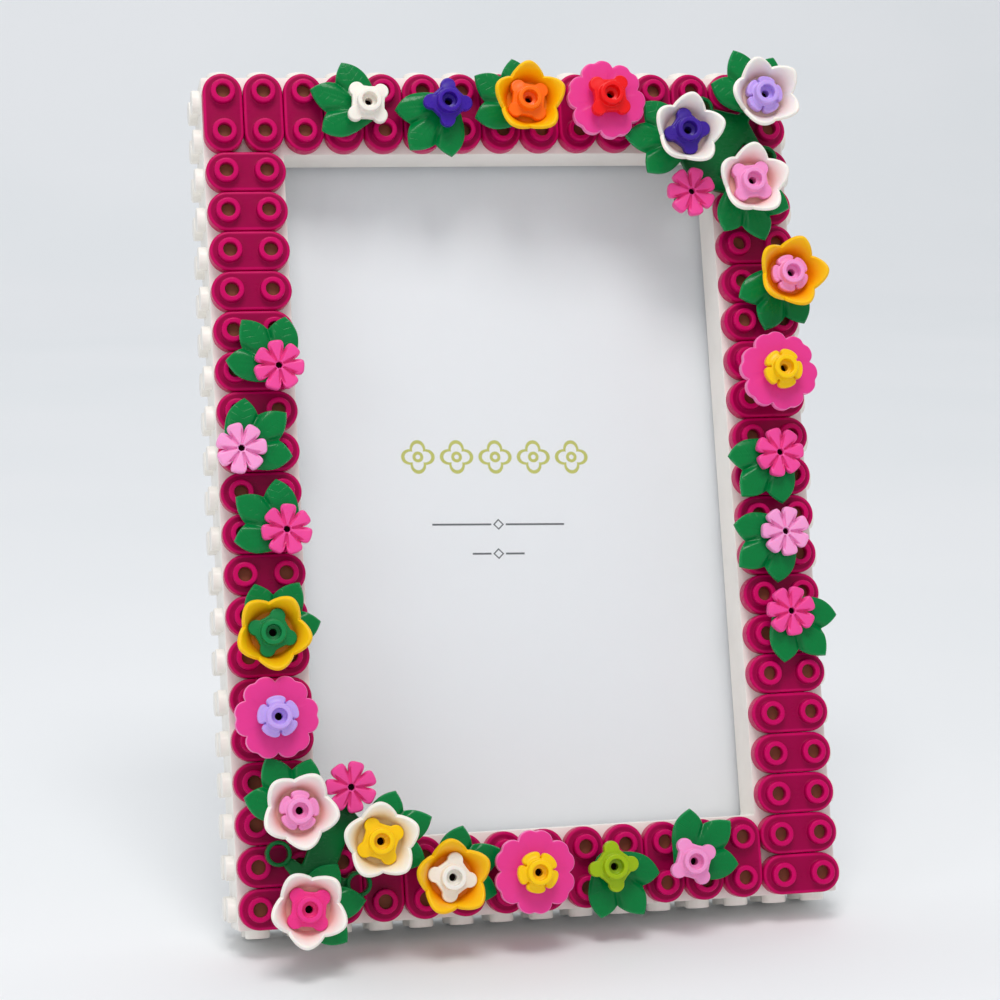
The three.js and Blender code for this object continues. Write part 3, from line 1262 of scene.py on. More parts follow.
@dataclass
class LeafTrio(Maker):
    """Three pointed blades fanned on one side of a round eye.

    Attributes:
        bearings: angle of each blade, in degrees.
        lengths: length of each blade.
        half_width: widest half breadth of a blade.
        eye: outer radius of the eye.
        bore: radius of the hole that the flower's pin goes through.
        points: points in each loop.
        tip_starts: distance from the eye where a blade starts to turn up.
        tip_run: how far it goes on from there.
    """

    bearings: tuple[float, ...] = (-46.0, 0.0, 46.0)
    lengths: tuple[float, ...] = (10.2, 11.6, 10.2)
    half_width: float = 3.35
    eye: float = 2.9
    bore: float = 1.75
    points: int = 180
    tip_starts: float = 5.0
    tip_run: float = 6.5

    def blade_reach(self, length: float, off: Array) -> Array:
        """Distance from the eye to a blade's edge, at angles off its midrib.

        The half breadth is W (1 - q^3), where q runs from 0 at 0.38 of the length to 1 at
        the tip, and below that it narrows to the eye.

        Args:
            length: the blade's length.
            off: angles off its midrib.

        Returns:
            A distance to each angle, 0 where the blade isn't met.
        """
        start = 0.38 * length
        outer = np.linspace(1, 0, 60)
        along = np.concatenate([start + (length - start) * outer,
                                np.linspace(start, 0.02, 30)[1:]])
        wide = np.concatenate([self.half_width * (1 - outer ** 3),
                               np.linspace(self.half_width, self.eye, 30)[1:]])
        angle = np.arctan2(wide, along)
        return np.interp(np.abs(off), angle, np.hypot(along, wide), right=0.0)

    def outline(self) -> Array:
        """Furthest of the three blades and the eye, at each angle.

        Returns:
            The outline's points.
        """
        angles = even_angles(self.points)
        reach = np.full(self.points, self.eye)
        for bearing, length in zip(self.bearings, self.lengths):
            off = (angles - math.radians(bearing) + math.pi) % (2 * math.pi) - math.pi
            reach = np.maximum(reach, self.blade_reach(length, off))
        return reach[:, None] * circle(1.0, angles)

    def blade_frame(self, flat: Array) -> tuple[Array, Array]:
        """How far along and across the nearest blade each point lies.

        Args:
            flat: points about the eye.

        Returns:
            The two distances, in mm.
        """
        angles = np.arctan2(flat[..., 1], flat[..., 0])
        radius = np.hypot(flat[..., 0], flat[..., 1])
        off = angles[..., None] - np.radians(self.bearings)
        off = (off + math.pi) % (2 * math.pi) - math.pi
        nearest = np.abs(off).argmin(-1)
        best = np.take_along_axis(off, nearest[..., None], -1)[..., 0]
        best = np.clip(best, -math.pi / 2, math.pi / 2)
        return radius * np.cos(best), radius * np.sin(best)

    def parting(self, flat: Array) -> Array:
        """Distance of each point from the nearest line midway between two blades.

        Args:
            flat: points about the eye.

        Returns:
            The angle off that line times the distance from the eye, in mm.
        """
        angles = np.degrees(np.arctan2(flat[..., 1], flat[..., 0]))[..., None]
        middles = (np.array(self.bearings[1:]) + np.array(self.bearings[:-1])) / 2
        off = np.radians(np.abs((angles - middles + 180) % 360 - 180).min(-1))
        return np.hypot(flat[..., 0], flat[..., 1]) * off

    def upturn(self, along: Array) -> Array:
        """How far out a blade has turned, by the square of the way along it."""
        return 0.55 * np.clip((along - self.tip_starts) / self.tip_run, 0, 1) ** 2

    def top(self, flat: Array, share: Array) -> Array:
        """Height of the upper side.

        Each half blade is a soft pillow that falls to the edge, with a fine rib between the
        halves and a bell-shaped valley between neighbouring blades.

        Args:
            flat: points about the eye.
            share: 0 at the bore to 1 at the edge.

        Returns:
            A height to each point.
        """
        along, across = self.blade_frame(flat)
        grow = np.clip((along - 2.6) / 3.0, 0, 1)
        breadth = np.clip(np.abs(across) / 3.6, 0, 1)
        pillow = 0.22 * np.sin(math.pi * breadth ** 0.8) * grow + 0.66 * (1 - share ** 3)
        valley = 0.62 * np.exp(-(self.parting(flat) / 0.55) ** 2) * grow
        rib = 0.16 * np.exp(-(across / 0.22) ** 2) * grow * (1 - share ** 8)
        return SEAT + 1.15 + pillow - valley + rib + self.upturn(along)

    def shell(self) -> Shell:
        """Underside, rounded rim, blades, eye and bore, in one closed surface.

        Returns:
            The shell about the eye, with the middle blade on the x axis.
        """
        count = self.points
        outline = self.outline()
        angles = even_angles(count)
        hole = circle(self.bore, angles)
        loops, marks = [], []

        def put(flat: Array, out: Array | float, share: float) -> None:
            """Adds a loop and its guide."""
            along, across = self.blade_frame(flat)
            loops.append(lift(flat, out))
            marks.append(np.stack([along, across, np.full(count, share)], -1))

        edge_top = self.top(outline, np.ones(count))
        under = SEAT + self.upturn(np.hypot(*outline.T))
        put(hole, SEAT + 0.9, 0.3)
        put(hole, SEAT, 0.3)
        put(0.5 * hole + 0.5 * outline, SEAT + 0.25 * (under - SEAT), 0.6)
        # third guide number near 1 on the rim, where the finish paints a pale painted
        # highlight
        put(inset(outline, 0.5), under, 0.95)
        for t in np.linspace(0, 1, 5):
            put(inset(outline, 0.26 * (1 - math.sin(t * math.pi)) ** 2),
                under + 0.1 + (edge_top - under - 0.16) * t, 1.0)
        for share in (0.965, 0.92, 0.86, 0.79, 0.71, 0.63, 0.55, 0.47, 0.39, 0.31, 0.22, 0.12):
            flat = hole + (outline - hole) * share
            put(flat, self.top(flat, np.full(count, share)), share)
        put(circle(self.bore + 0.15, angles), SEAT + 1.72, 0.1)
        put(hole, SEAT + 1.60, 0.1)
        return Shell().skin(np.stack(loops), Ends.RING, np.stack(marks))

    def build(self, tag: str, x: float, y: float, rise: float, aim: float) -> None:
        """Makes one leaf trio.

        Args:
            tag: the flower that it belongs to.
            x: face position of its eye.
            y: the same, up the face.
            rise: how much further out it stands than on the border.
            aim: bearing of its middle blade, in degrees.
        """
        self.shop.build(f"leaf_{tag}", self.shell().placed(x, y, rise, aim),
                        [self.palette.get("leaf_green")], "frame", "leaf_green",
                        [f"leaves_{tag}"], crease=40.0)


# places of a branch's six rings about its own middle
BRANCH_RINGS = ((12.1, 0.0), (4.3, 8.2), (4.3, -8.2), (-12.1, 0.0), (-4.3, 8.2), (-4.3, -8.2))


@dataclass
class Branch(Maker):
    """Flat branch: a broad stem, with a ring at each end and two side arms per end.

    Attributes:
        thick: thickness of the stems.
        fork: distance from the middle to where the side arms leave the stem.
        ring_bore: inner radius of a ring.
        ring_reach: its outer radius.
        ring_height: its height.
        grid: size of the cells that the stems and rings are fused with.
    """

    thick: float = 2.0
    fork: float = 7.4
    ring_bore: float = 1.75
    ring_reach: float = 2.5
    ring_height: float = 3.2
    grid: float = 0.24

    def bar(self, start: tuple[float, float], end: tuple[float, float], wide: float,
            narrow: float) -> Shell:
        """A tapering bar: a rounded box section carried along its line, drawn in at its ends.

        Args:
            start: where it starts.
            end: where it ends.
            wide: its breadth at the start.
            narrow: its breadth at the end.

        Returns:
            The closed bar.
        """
        a, b = np.array(start), np.array(end)
        along = (b - a) / np.linalg.norm(b - a)
        across = np.array([-along[1], along[0]])
        t = even_angles(28)
        shape = squared(circle(1.0, t), 0.45)
        loops = []
        for s in np.linspace(0, 1, 9):
            close = math.sqrt(max(0.0, 1 - (2 * abs(s - 0.5)) ** 8))
            half = (wide + (narrow - wide) * s) / 2 * (0.7 + 0.3 * close)
            high = self.thick / 2 * (0.8 + 0.2 * close)
            middle = a + (b - a) * s
            flat = middle + across * (shape[:, :1] * -half)
            loops.append(lift(flat, SEAT + self.thick / 2 + shape[:, 1] * high))
        return Shell().skin(np.stack(loops))

    def ring(self, x: float, y: float) -> Shell:
        """An open ring that stands a little above the stems.

        Args:
            x: its place about the branch's middle.
            y: the same.

        Returns:
            The closed ring.
        """
        inner, outer = self.ring_bore, self.ring_reach
        high = SEAT + self.ring_height
        wall = rounded([(inner, SEAT + 1.5), (inner, SEAT), (outer, SEAT), (outer, high),
                        (inner, high), (inner, SEAT + 1.5)], [0.1, 0.1, 0.25, 0.2])[:-1]
        return Shell().skin(rings(wall, even_angles(48)), Ends.RING).placed(x, y)

    def shell(self) -> Shell:
        """Stems and rings about the branch's own middle.

        Returns:
            The shell, whose parts run into one another.
        """
        shell = self.bar((-7.6, 0), (7.6, 0), 6.4, 6.4)
        shell.add(self.bar((-10.2, 0), (10.2, 0), 3.2, 3.2))
        for x, y in BRANCH_RINGS:
            if y:
                foot = math.copysign(self.fork, x)
                gap = 2.15 / math.hypot(x - foot, y)
                end = (x + (foot - x) * gap, y * (1 - gap))
                shell.add(self.bar((foot, 0.0), end, 3.6, 2.4))
        for x, y in BRANCH_RINGS:
            shell.add(self.ring(x, y))
        return shell

    def build(self, tag: str, x: float, y: float, turn: float) -> None:
        """Fuses the stems and rings into one moulding with soft inner corners.

        Args:
            tag: the branch's name.
            x: face position of its middle.
            y: the same, up the face.
            turn: bearing of its stem, in degrees.
        """
        mesh = self.shop.mesh_of(f"stem_{tag}", self.shell().placed(x, y, 0.0, turn))
        fused = self.shop.shaped(mesh, [
            ("REMESH", {"mode": "VOXEL", "voxel_size": self.grid * MM}),
            ("SMOOTH", {"factor": 0.5, "iterations": 4}),
        ])
        self.shop.finish(f"stem_{tag}", fused, [self.palette.get("branch_green")], "frame",
                         "branch_green", [f"branch_{tag}"], crease=60.0)


# ==== Flowers ====


class Kind(Enum):
    """How a flower is put together."""

    SINGLE = "small flower on its own"
    CUPPED = "small flower in a five-petal cup"
    SCALLOPED = "small flower on a scalloped disc"
    DAISY = "seven-petal daisy"


@dataclass
class SmallFlower:
    """Small plug-on flower with an open stud, four round lobes or five short petals.

    Attributes:
        petals: four or five.
        reach: tip radius.
        lobe: radius of a round lobe.
        collar: radius of the collar under the petals.
        collar_height: its height.
        height: height of the petals' top.
        hole: radius of the hole in the stud's floor.
        points: points in each loop.
    """

    petals: int
    reach: float
    lobe: float = 1.5
    collar: float = 2.6
    collar_height: float = 1.5
    height: float = 3.2
    hole: float = 0.74
    points: int = 160

    def outline(self, angles: Array) -> Array:
        """Edge of the petals.

        A lobe is a circle of radius p whose middle is c away, met at c cos d + sqrt(p^2 -
        (c sin d)^2) at an angle d off its own bearing, and the four are joined by a hub. Five
        petals are square-ended, with the seventh power of d for the notch between them.

        Args:
            angles: bearings about the flower's axis.

        Returns:
            A point to each angle.
        """
        part = np.abs(from_middle(angles, self.petals))
        if self.petals == 5:
            reach = self.reach * (1.02 - 0.03 * part ** 2 - 0.24 * part ** 7)
        else:
            off = part * math.pi / self.petals
            centre = self.reach - self.lobe
            inside = np.maximum(self.lobe ** 2 - (centre * np.sin(off)) ** 2, 0.0)
            met = np.where(inside > 0, centre * np.cos(off) + np.sqrt(inside), 0.0)
            reach = np.maximum(met, 3.2 + 0.95 * (1 - part) ** 1.6)
        return reach[:, None] * circle(1.0, angles)

    def stem(self, base: float, foot: float | None, angles: Array) -> list[Array]:
        """Pin and collar.

        Args:
            base: height of the collar's underside.
            foot: height of the pin's lower end, or None where there is no pin.
            angles: bearings of the loops' points.

        Returns:
            The loops, from the lowest up.
        """
        loops: list[Array] = []
        if foot is not None:
            pin = rounded([(0.5, foot), (PIN_RADIUS, foot), (PIN_RADIUS, base), (2.7, base)],
                          [0.25, 0.0], 3)
            loops += list(rings(pin, angles))
        under = base + self.collar_height
        collar = rounded([(2.0, base), (self.collar, base), (self.collar, under)], [0.2], 3)
        return loops + list(rings(collar, angles))

    def shell(self, base: float, foot: float | None = None) -> Shell:
        """The flower standing on base; its petals droop by the square of the distance.

        Args:
            base: height of the collar's underside.
            foot: height of the pin's lower end, or None where there is no pin.

        Returns:
            The shell about the flower's own axis, a petal on the x axis. The hole's floor is
            on the second material slot, painted near black as the shade down the hole.
        """
        angles = even_angles(self.points)
        outline = self.outline(angles)
        radius = np.hypot(*outline.T)
        off = np.abs(from_middle(angles, self.petals))
        under, top = base + self.collar_height, base + self.height
        side = rounded([(0.4, under), (0.0, under), (0.0, top), (0.8, top)], [0.22, 0.42], 4)
        droop = 0.22 * np.clip((radius - 2.4) / (self.reach - 2.4), 0, 1) ** 2
        groove = 0.8 * np.exp(-((1 - off) / 0.10) ** 2) if self.petals == 5 else 0 * off
        loops = self.stem(base, foot, angles)
        loops += [lift(outline * (1 - d / radius)[:, None],
                       out - (droop + groove) * (out > base + 2.4)) for d, out in side]
        loops.append(lift(0.5 * outline * (1 - 0.8 / radius)[:, None]
                          + 0.5 * circle(2.75, angles),
                          top + 0.02 - groove * 0.8 - droop * 0.3))
        rise, hole = top + STUD_HEIGHT, self.hole
        stud = rounded([(2.9, top + 0.02), (STUD_RADIUS, top), (STUD_RADIUS, rise),
                        (STUD_BORE, rise), (STUD_BORE, top + 0.12), (hole, top),
                        (hole, base + 1.2)], [0.3, 0.30, 0.2, 0.25, 0.1], 4)
        loops += list(rings(stud[1:], angles))
        floor = base + 1.24
        # floor of the hole, on the near-black painted shade slot
        hole_shade = rings([(0.80, floor - 0.3), (0.80, floor + 0.02), (0.3, floor + 0.03)],
                       even_angles(24))
        return Shell().skin(np.stack(loops)).skin(hole_shade, slot=1)


@dataclass
class Cup:
    """Five-petal cup: a bowl whose rim rises into five petals.

    Attributes:
        wall: thickness at the rim.
        notch: how much of the wall's height is missing between two petals.
        floor: height of the floor inside.
        crown: how far the rim is rounded up.
        points: points in each loop.
        meridian: radius and height of the outer wall, from the middle of the underside to a
            petal's tip.
    """

    wall: float = 0.75
    notch: float = 0.33
    floor: float = 2.6
    crown: float = 0.20
    points: int = 150
    meridian: tuple[tuple[float, float], ...] = (
        (2.3, 0.0), (2.9, 0.05), (3.9, 0.55), (4.8, 1.6), (5.45, 2.9), (6.0, 4.3),
        (6.6, 5.6), (7.4, 6.75))

    def wall_point(self, share: Array, off: Array, inner: float) -> Array:
        """Radius and height on the wall.

        The meridian is followed by its own length and moved inwards along its normal. The
        wall folds in between two petals, by the third power of off.

        Args:
            share: 0 at the underside to 1 at a petal's tip.
            off: 0 at a petal's middle to 1 between petals.
            inner: how far inside the outer wall, in mm.

        Returns:
            Radius and height, stacked last.
        """
        line = np.array(self.meridian)
        steps = np.concatenate([[0], np.cumsum(np.hypot(*np.diff(line, axis=0).T))])
        steps /= steps[-1]

        def on_line(at: Array) -> Array:
            """Radius and height of the meridian at a share of its length."""
            return np.stack([np.interp(at, steps, line[:, k]) for k in (0, 1)])

        radius, height = on_line(share)
        dr, dh = on_line(np.clip(share + 0.03, 0, 1)) - on_line(np.clip(share - 0.03, 0, 1))
        norm = np.hypot(dr, dh)
        fold = -0.5 * np.clip(share - 0.3, 0, 1) * off ** 3
        return np.stack([radius - inner * dh / norm + fold, height + inner * dr / norm], -1)

    def shell(self, base: float, foot: float) -> Shell:
        """The cup standing on base.

        The rim falls from 1 by the notch times the distance off a petal's middle, raised to
        1.2 and softened at the middle by a square root.

        Args:
            base: height of its underside.
            foot: height of its pin's lower end.

        Returns:
            The shell about the cup's axis, a petal on the x axis.
        """
        angles = even_angles(self.points)
        off = np.abs(from_middle(angles, 5))
        rim = 1 - self.notch * (np.sqrt(off ** 2 + 0.012) - 0.109) ** 1.2
        loops, marks = [], []

        def put(radius: Array | float, out: Array | float, share: float) -> None:
            """Adds a loop and its guide."""
            reach = np.broadcast_to(radius, (self.points,))
            loops.append(lift(reach[:, None] * circle(1.0, angles), out))
            marks.append(np.stack([np.full(self.points, share), off, off], -1))

        # guide's first number: low inside the cup and round its foot, where the finish paints
        # the inner colour as painted shade, and 1 on the rim
        pin = rounded([(0.5, foot), (PIN_RADIUS, foot), (PIN_RADIUS, base), (2.3, base)],
                      [0.25, 0.0], 3)
        for r, out in pin:
            put(r, out, 0.6)
        for t in np.linspace(0.0, 1.0, 15):
            radius, height = self.wall_point(rim * t, off, 0.0).T
            put(radius, base + height, 0.75 + 0.25 * t)
        for t in np.linspace(0.2, 0.8, 4):
            radius, height = self.wall_point(rim, off, self.wall * t).T
            put(radius, base + height + self.crown * math.sin(t * math.pi), 1.0)
        for t in np.linspace(1.0, 0.12, 16):
            thick = self.wall * (1.0 + 0.7 * (1 - t))
            radius, height = self.wall_point(np.maximum(rim * t, 0.02), off, thick).T
            put(np.maximum(radius, 1.9), base + np.maximum(height, self.floor), t)
        put(1.4, base + self.floor - 0.02, 0.1)
        return Shell().skin(np.stack(loops), Ends.POLES, np.stack(marks))


@dataclass
class Scallop:
    """Flat disc with six broad lobes, on a tall collar.

    Attributes:
        reach: radius of the lobes.
        collar: radius of the collar.
        low: height of the disc's underside.
        high: height of its top.
        margin: breadth of the rounded margin.
        points: points in each loop.
    """

    reach: float = 8.0
    collar: float = 3.0
    low: float = 10.5
    high: float = 12.2
    margin: float = 0.9
    points: int = 240

    def shell(self) -> Shell:
        """The disc on its collar.

        Each lobe falls with the fourth power of the angle off its middle, which is dimpled by
        a narrow bell.

        Returns:
            The shell about the disc's axis, a lobe on the x axis.
        """
        angles = even_angles(self.points)
        off = np.abs(from_middle(angles, 6))
        radius = (self.reach - 1.25 * off ** 4 - 0.10 * off ** 2
                  - 0.36 * np.exp(-(off / 0.18) ** 2) + 0.06)
        outline = radius[:, None] * circle(1.0, angles)
        loops, marks = [], []

        def put(flat: Array, out: float | Array, share: float) -> None:
            """Adds a loop and its guide."""
            loops.append(lift(flat, out))
            marks.append(np.tile([share, 0.0, 0.0], (self.points, 1)))

        for r, out in rounded([(0.5, SEAT), (self.collar, SEAT), (self.collar, self.low)],
                              [0.3], 3):
            put(circle(r, angles), out, 0.2)
        for d, out in rounded([(0.5, self.low), (0.0, self.low), (0.0, self.high),
                               (self.margin, self.high)], [0.3, 0.45], 4):
            # outer edge marked 1 takes the paler rim colour as a painted highlight; the rest
            # keeps the disc's plain colour
            put(inset(outline, d), out, 1.0 if d < 0.2 else 0.2)
        rim = inset(outline, self.margin)
        for share in (0.85, 0.7, 0.55, 0.42):
            valley = 0.16 * np.exp(-((1 - off) / 0.12) ** 2) * (share - 0.35)
            put(rim * share, self.high + 0.05 * (1 - share) - valley, 0.2)
        put(circle(1.0, angles), self.high, 0.2)
        return Shell().skin(np.stack(loops), Ends.POLES, np.stack(marks))


@dataclass
class Daisy:
    """Seven square-ended petals parted by grooves that run to a small hole.

    Attributes:
        petals: how many.
        reach: tip radius.
        collar: radius of the collar.
        low: height of the petals' underside.
        high: height of their top.
        edge: rounding of their upper edge.
        hole: radius of the hole.
        points: points in each loop.
    """

    petals: int = 7
    reach: float = 5.15
    collar: float = 2.9
    low: float = 7.5
    high: float = 9.3
    edge: float = 0.40
    hole: float = 0.66
    points: int = 280

    def shell(self, foot: float) -> Shell:
        """Petals on a pin that goes down to foot.

        The edge falls by the fifth power of the angle off a petal's middle, which marks
        the notch; the groove is a narrow bell across the parting.

        Args:
            foot: height of the pin's lower end.

        Returns:
            The shell about the daisy's axis, a petal on the x axis. The hole's floor is on the
            second material slot, painted near black as the shade down the hole.
        """
        angles = even_angles(self.points)
        off = np.abs(from_middle(angles, self.petals))
        half = math.pi / self.petals
        square = 1 / np.maximum(np.cos(off * half), 0.5)
        radius = self.reach * (0.955 * square - 0.055 * off ** 2 - 0.48 * off ** 5)
        outline = radius[:, None] * circle(1.0, angles)
        parting = half * (1 - off)

        def crown(flat: Array, share: float) -> Array:
            """Height of the petals: a pillow across each, less the groove between them."""
            beside = np.hypot(*flat.T) * parting
            groove = 0.85 * np.exp(-(beside / 0.18) ** 2) * (0.3 + 0.7 * share)
            pillow = 0.20 * (1 - off ** 2) * share
            return self.high - 0.20 + pillow - groove

        neck, brow = self.low - 0.2, self.high - 0.5
        loops = list(rings(rounded(
            [(0.5, foot), (PIN_RADIUS, foot), (PIN_RADIUS, neck), (self.collar, neck),
             (self.collar, self.low)], [0.25, 0.0, 0.2], 3), angles))
        loops += [lift(inset(outline, d), out) for d, out in rounded(
            [(0.4, self.low), (0.0, self.low), (0.0, brow)], [0.2], 3)]
        for t in (0.25, 0.5, 0.75, 1.0):
            flat = inset(outline, self.edge * (1 - math.cos(t * math.pi / 2)))
            rise = crown(flat, 1.0) - brow
            loops.append(lift(flat, brow + rise * math.sin(t * math.pi / 2)))
        rim = inset(outline, self.edge)
        for share in (0.9, 0.78, 0.66, 0.54, 0.42, 0.31, 0.22):
            loops.append(lift(rim * share, crown(rim * share, share)))
        well = rounded([(self.hole + 0.2, self.high - 0.25), (self.hole, self.high - 0.35),
                        (self.hole, self.high - 1.4)], [0.1], 2)
        loops += list(rings(well, angles))
        base = self.high - 1.36
        # floor of the hole, on the near-black painted shade slot
        floor = rings([(0.7, base - 0.3), (0.7, base + 0.02), (0.3, base + 0.03)],
                      even_angles(20))
        return Shell().skin(np.stack(loops)).skin(floor, slot=1)


@dataclass(frozen=True)
class Bloom:
    """One flower of the garden.

    Attributes:
        tag: its name.
        kind: how it is put together.
        petals: petals of its small flower.
        colour: colour of the small flower or daisy.
        turn: bearing of one of its petals, in degrees.
        outer: cup or disc colour.
        outer_turn: bearing of one of its petals.
        leaf: bearing of its leaf trio, or None.
        slot: a slot name for the whole flower.
    """

    tag: str
    kind: Kind
    petals: int
    colour: Petal
    turn: float
    slot: str
    leaf: float | None = None
    outer: Bowl | None = None
    outer_turn: float = 0.0


@dataclass
class Florist(Maker):
    """Builds each flower, with its leaf, and sets it on its body.

    Attributes:
        leaves: makes the leaf trios.
        daisy_sinks: how much lower a daisy stands where it has no leaf.
        cup_floor: height that a small flower stands at in its cup.
    """

    leaves: LeafTrio
    daisy_sinks: float = 1.8
    cup_floor: float = LEAF_TOP + 1.5

    def plant(self, bloom: Bloom, x: float, y: float, rise: float) -> None:
        """Makes one flower.

        Args:
            bloom: what to make.
            x: face position.
            y: face position.
            rise: how much further out it stands than a flower on the border.
        """
        body, node = f"flower_{bloom.tag}", f"bloom_{bloom.tag}"
        if bloom.leaf is not None:
            self.leaves.build(bloom.tag, x, y, rise, bloom.leaf)
        elif bloom.kind is Kind.DAISY:
            rise -= self.daisy_sinks
        # second slot: painted near-black shade for the floors of the holes
        finish = [self.palette.petal(bloom.colour), self.palette.get("hole_shade")]
        reach = 4.95 if bloom.petals == 4 else 3.9

        def make(part: str, shell: Shell, materials: list[bpy.types.Material],
                 turn: float) -> None:
            """Places one part of the flower."""
            self.shop.build(f"{part}_{bloom.tag}", shell.placed(x, y, rise, turn), materials,
                            body, bloom.slot, [node], crease=48.0)

        if bloom.outer is not None:
            outer = (Cup().shell(LEAF_TOP, PIN_FOOT) if bloom.kind is Kind.CUPPED
                     else Scallop().shell())
            make("cup" if bloom.kind is Kind.CUPPED else "disc", outer,
                 [self.palette.bowl(bloom.outer)], bloom.outer_turn)
        if bloom.kind is Kind.DAISY:
            make("daisy", Daisy().shell(PIN_FOOT), finish, bloom.turn)
        elif bloom.kind is Kind.SINGLE:
            make("flower", SmallFlower(bloom.petals, reach).shell(LEAF_TOP, PIN_FOOT), finish,
                 bloom.turn)
        elif bloom.kind is Kind.CUPPED:
            make("flower", SmallFlower(bloom.petals, reach - 0.15).shell(self.cup_floor),
                 finish, bloom.turn)
        else:
            make("flower", SmallFlower(bloom.petals, reach).shell(DISC_TOP), finish,
                 bloom.turn)


# stud column, stud row and flower
BORDER_GARDEN: tuple[tuple[float, float, Bloom], ...] = (
    (4.5, 1.5, Bloom("top_1", Kind.SINGLE, 4, Petal.WHITE, 40, "petal_white", 162)),
    (6.5, 1.5, Bloom("top_2", Kind.SINGLE, 4, Petal.INDIGO, -3, "petal_purple", 229)),
    (8.5, 1.5, Bloom("top_3", Kind.CUPPED, 4, Petal.ORANGE, 36, "petal_yellow", 146,
                     Bowl.GOLD, 18)),
    (10.5, 1.5, Bloom("top_4", Kind.SCALLOPED, 4, Petal.RED, 48, "petal_pink", None,
                      Bowl.HOT_PINK, 46)),
    (15, 6, Bloom("right_1", Kind.CUPPED, 5, Petal.LIGHT_PINK, 36, "petal_yellow", 247,
                  Bowl.GOLD, 0)),
    (14.5, 8.5, Bloom("right_2", Kind.SCALLOPED, 5, Petal.YELLOW, -8, "petal_pink", None,
                      Bowl.HOT_PINK, 44)),
    (14.5, 10.5, Bloom("right_3", Kind.DAISY, 7, Petal.ROSE, 2, "petal_rose", 227)),
    (14.5, 12.5, Bloom("right_4", Kind.DAISY, 7, Petal.BLUSH, 22, "petal_blush", 215)),
    (14.5, 14.5, Bloom("right_5", Kind.DAISY, 7, Petal.ROSE, 19, "petal_rose", 308)),
    (2, 8, Bloom("left_1", Kind.DAISY, 7, Petal.ROSE, -6, "petal_rose", 125)),
    (1, 10, Bloom("left_2", Kind.DAISY, 7, Petal.BLUSH, 3, "petal_blush", 37)),
    (2, 12, Bloom("left_3", Kind.DAISY, 7, Petal.ROSE, 32, "petal_rose", 144)),
    (1.5, 14.5, Bloom("left_4", Kind.CUPPED, 4, Petal.GREEN, -19, "petal_yellow", 58,
                      Bowl.YELLOW, -13)),
    (1.5, 16.5, Bloom("left_5", Kind.SCALLOPED, 5, Petal.LAVENDER, 24, "petal_pink", None,
                      Bowl.HOT_PINK, 0)),
    (5.5, 20.5, Bloom("bottom_1", Kind.CUPPED, 4, Petal.WHITE, -12, "petal_yellow", 24,
                      Bowl.GOLD, 23)),
    (7.5, 20.5, Bloom("bottom_2", Kind.SCALLOPED, 5, Petal.YELLOW, 42, "petal_pink", None,
                      Bowl.HOT_PINK, 26)),
    (9.5, 20.5, Bloom("bottom_3", Kind.SINGLE, 4, Petal.LIME, 5, "petal_lime", 303)),
    (11.5, 20.5, Bloom("bottom_4", Kind.SINGLE, 4, Petal.LIGHT_PINK, 27, "petal_blush", 39)),
)

# tag, hub column, hub row, turn of the branch, then (ring index, flower)
CORNER_GARDEN: tuple[tuple[str, float, float, float, tuple[tuple[int, Bloom], ...]], ...] = (
    ("upper", 13.56, 2.66, 50.8, (
        (4, Bloom("upper_1", Kind.CUPPED, 4, Petal.PURPLE, 8, "petal_white", 178,
                  Bowl.WHITE, 10)),
        (0, Bloom("upper_2", Kind.CUPPED, 5, Petal.LAVENDER, 6, "petal_white", 112,
                  Bowl.WHITE, 36)),
        (5, Bloom("upper_3", Kind.CUPPED, 4, Petal.LIGHT_PINK, 50, "petal_white", 288,
                  Bowl.PINKISH, 15)),
        (3, Bloom("upper_4", Kind.DAISY, 7, Petal.ROSE, 22, "petal_rose")),
    )),
    ("lower", 2.6, 19.62, 66.3, (
        (1, Bloom("lower_1", Kind.CUPPED, 5, Petal.LIGHT_PINK, 11, "petal_white", 117,
                  Bowl.PINKISH, -11)),
        (2, Bloom("lower_2", Kind.CUPPED, 4, Petal.YELLOW, 25, "petal_white", 20,
                  Bowl.CREAM, 19)),
        (3, Bloom("lower_3", Kind.CUPPED, 4, Petal.MAGENTA, 37, "petal_white", 4,
                  Bowl.PINKISH, 45)),
        (0, Bloom("lower_4", Kind.DAISY, 7, Petal.ROSE, 22, "petal_rose")),
    )),
)


@dataclass
class Garden(Maker):
    """All the flowers, leaves and branches."""

    def build(self) -> None:
        """Plants the border, then each corner's branch and the flowers on its rings."""
        florist = Florist(self.shop, self.palette, LeafTrio(self.shop, self.palette))
        for column, row, bloom in BORDER_GARDEN:
            florist.plant(bloom, *stud_place(column, row), 0.0)
        branch = Branch(self.shop, self.palette)
        for tag, column, row, turn, heads in CORNER_GARDEN:
            hub_x, hub_y = stud_place(column, row)
            branch.build(tag, hub_x, hub_y, turn)
            a = math.radians(turn)
            for ring, bloom in heads:
                rx, ry = BRANCH_RINGS[ring]
                florist.plant(bloom, hub_x + rx * math.cos(a) - ry * math.sin(a),
                              hub_y + rx * math.sin(a) + ry * math.cos(a), BRANCH_RISE)


# ==== Picture and back ====


@dataclass
class Picture:
    """The clear window and the card behind it, which keep their CAD shapes.

    Attributes:
        nodes: the plain solids, by name.
        palette: the finishes.
    """

    nodes: dict[str, bpy.types.Object]
    palette: Palette

    def build(self) -> None:
        """Gives both their finishes."""
        for node, finish in (("clear_window", "clear_sheet"),
                             ("photo_insert", "printed_card")):
            data = self.nodes[node].data
            data.materials.clear()
            data.materials.append(self.palette.get(finish))
            LOG.info("%s: dressed as %s", node, finish)


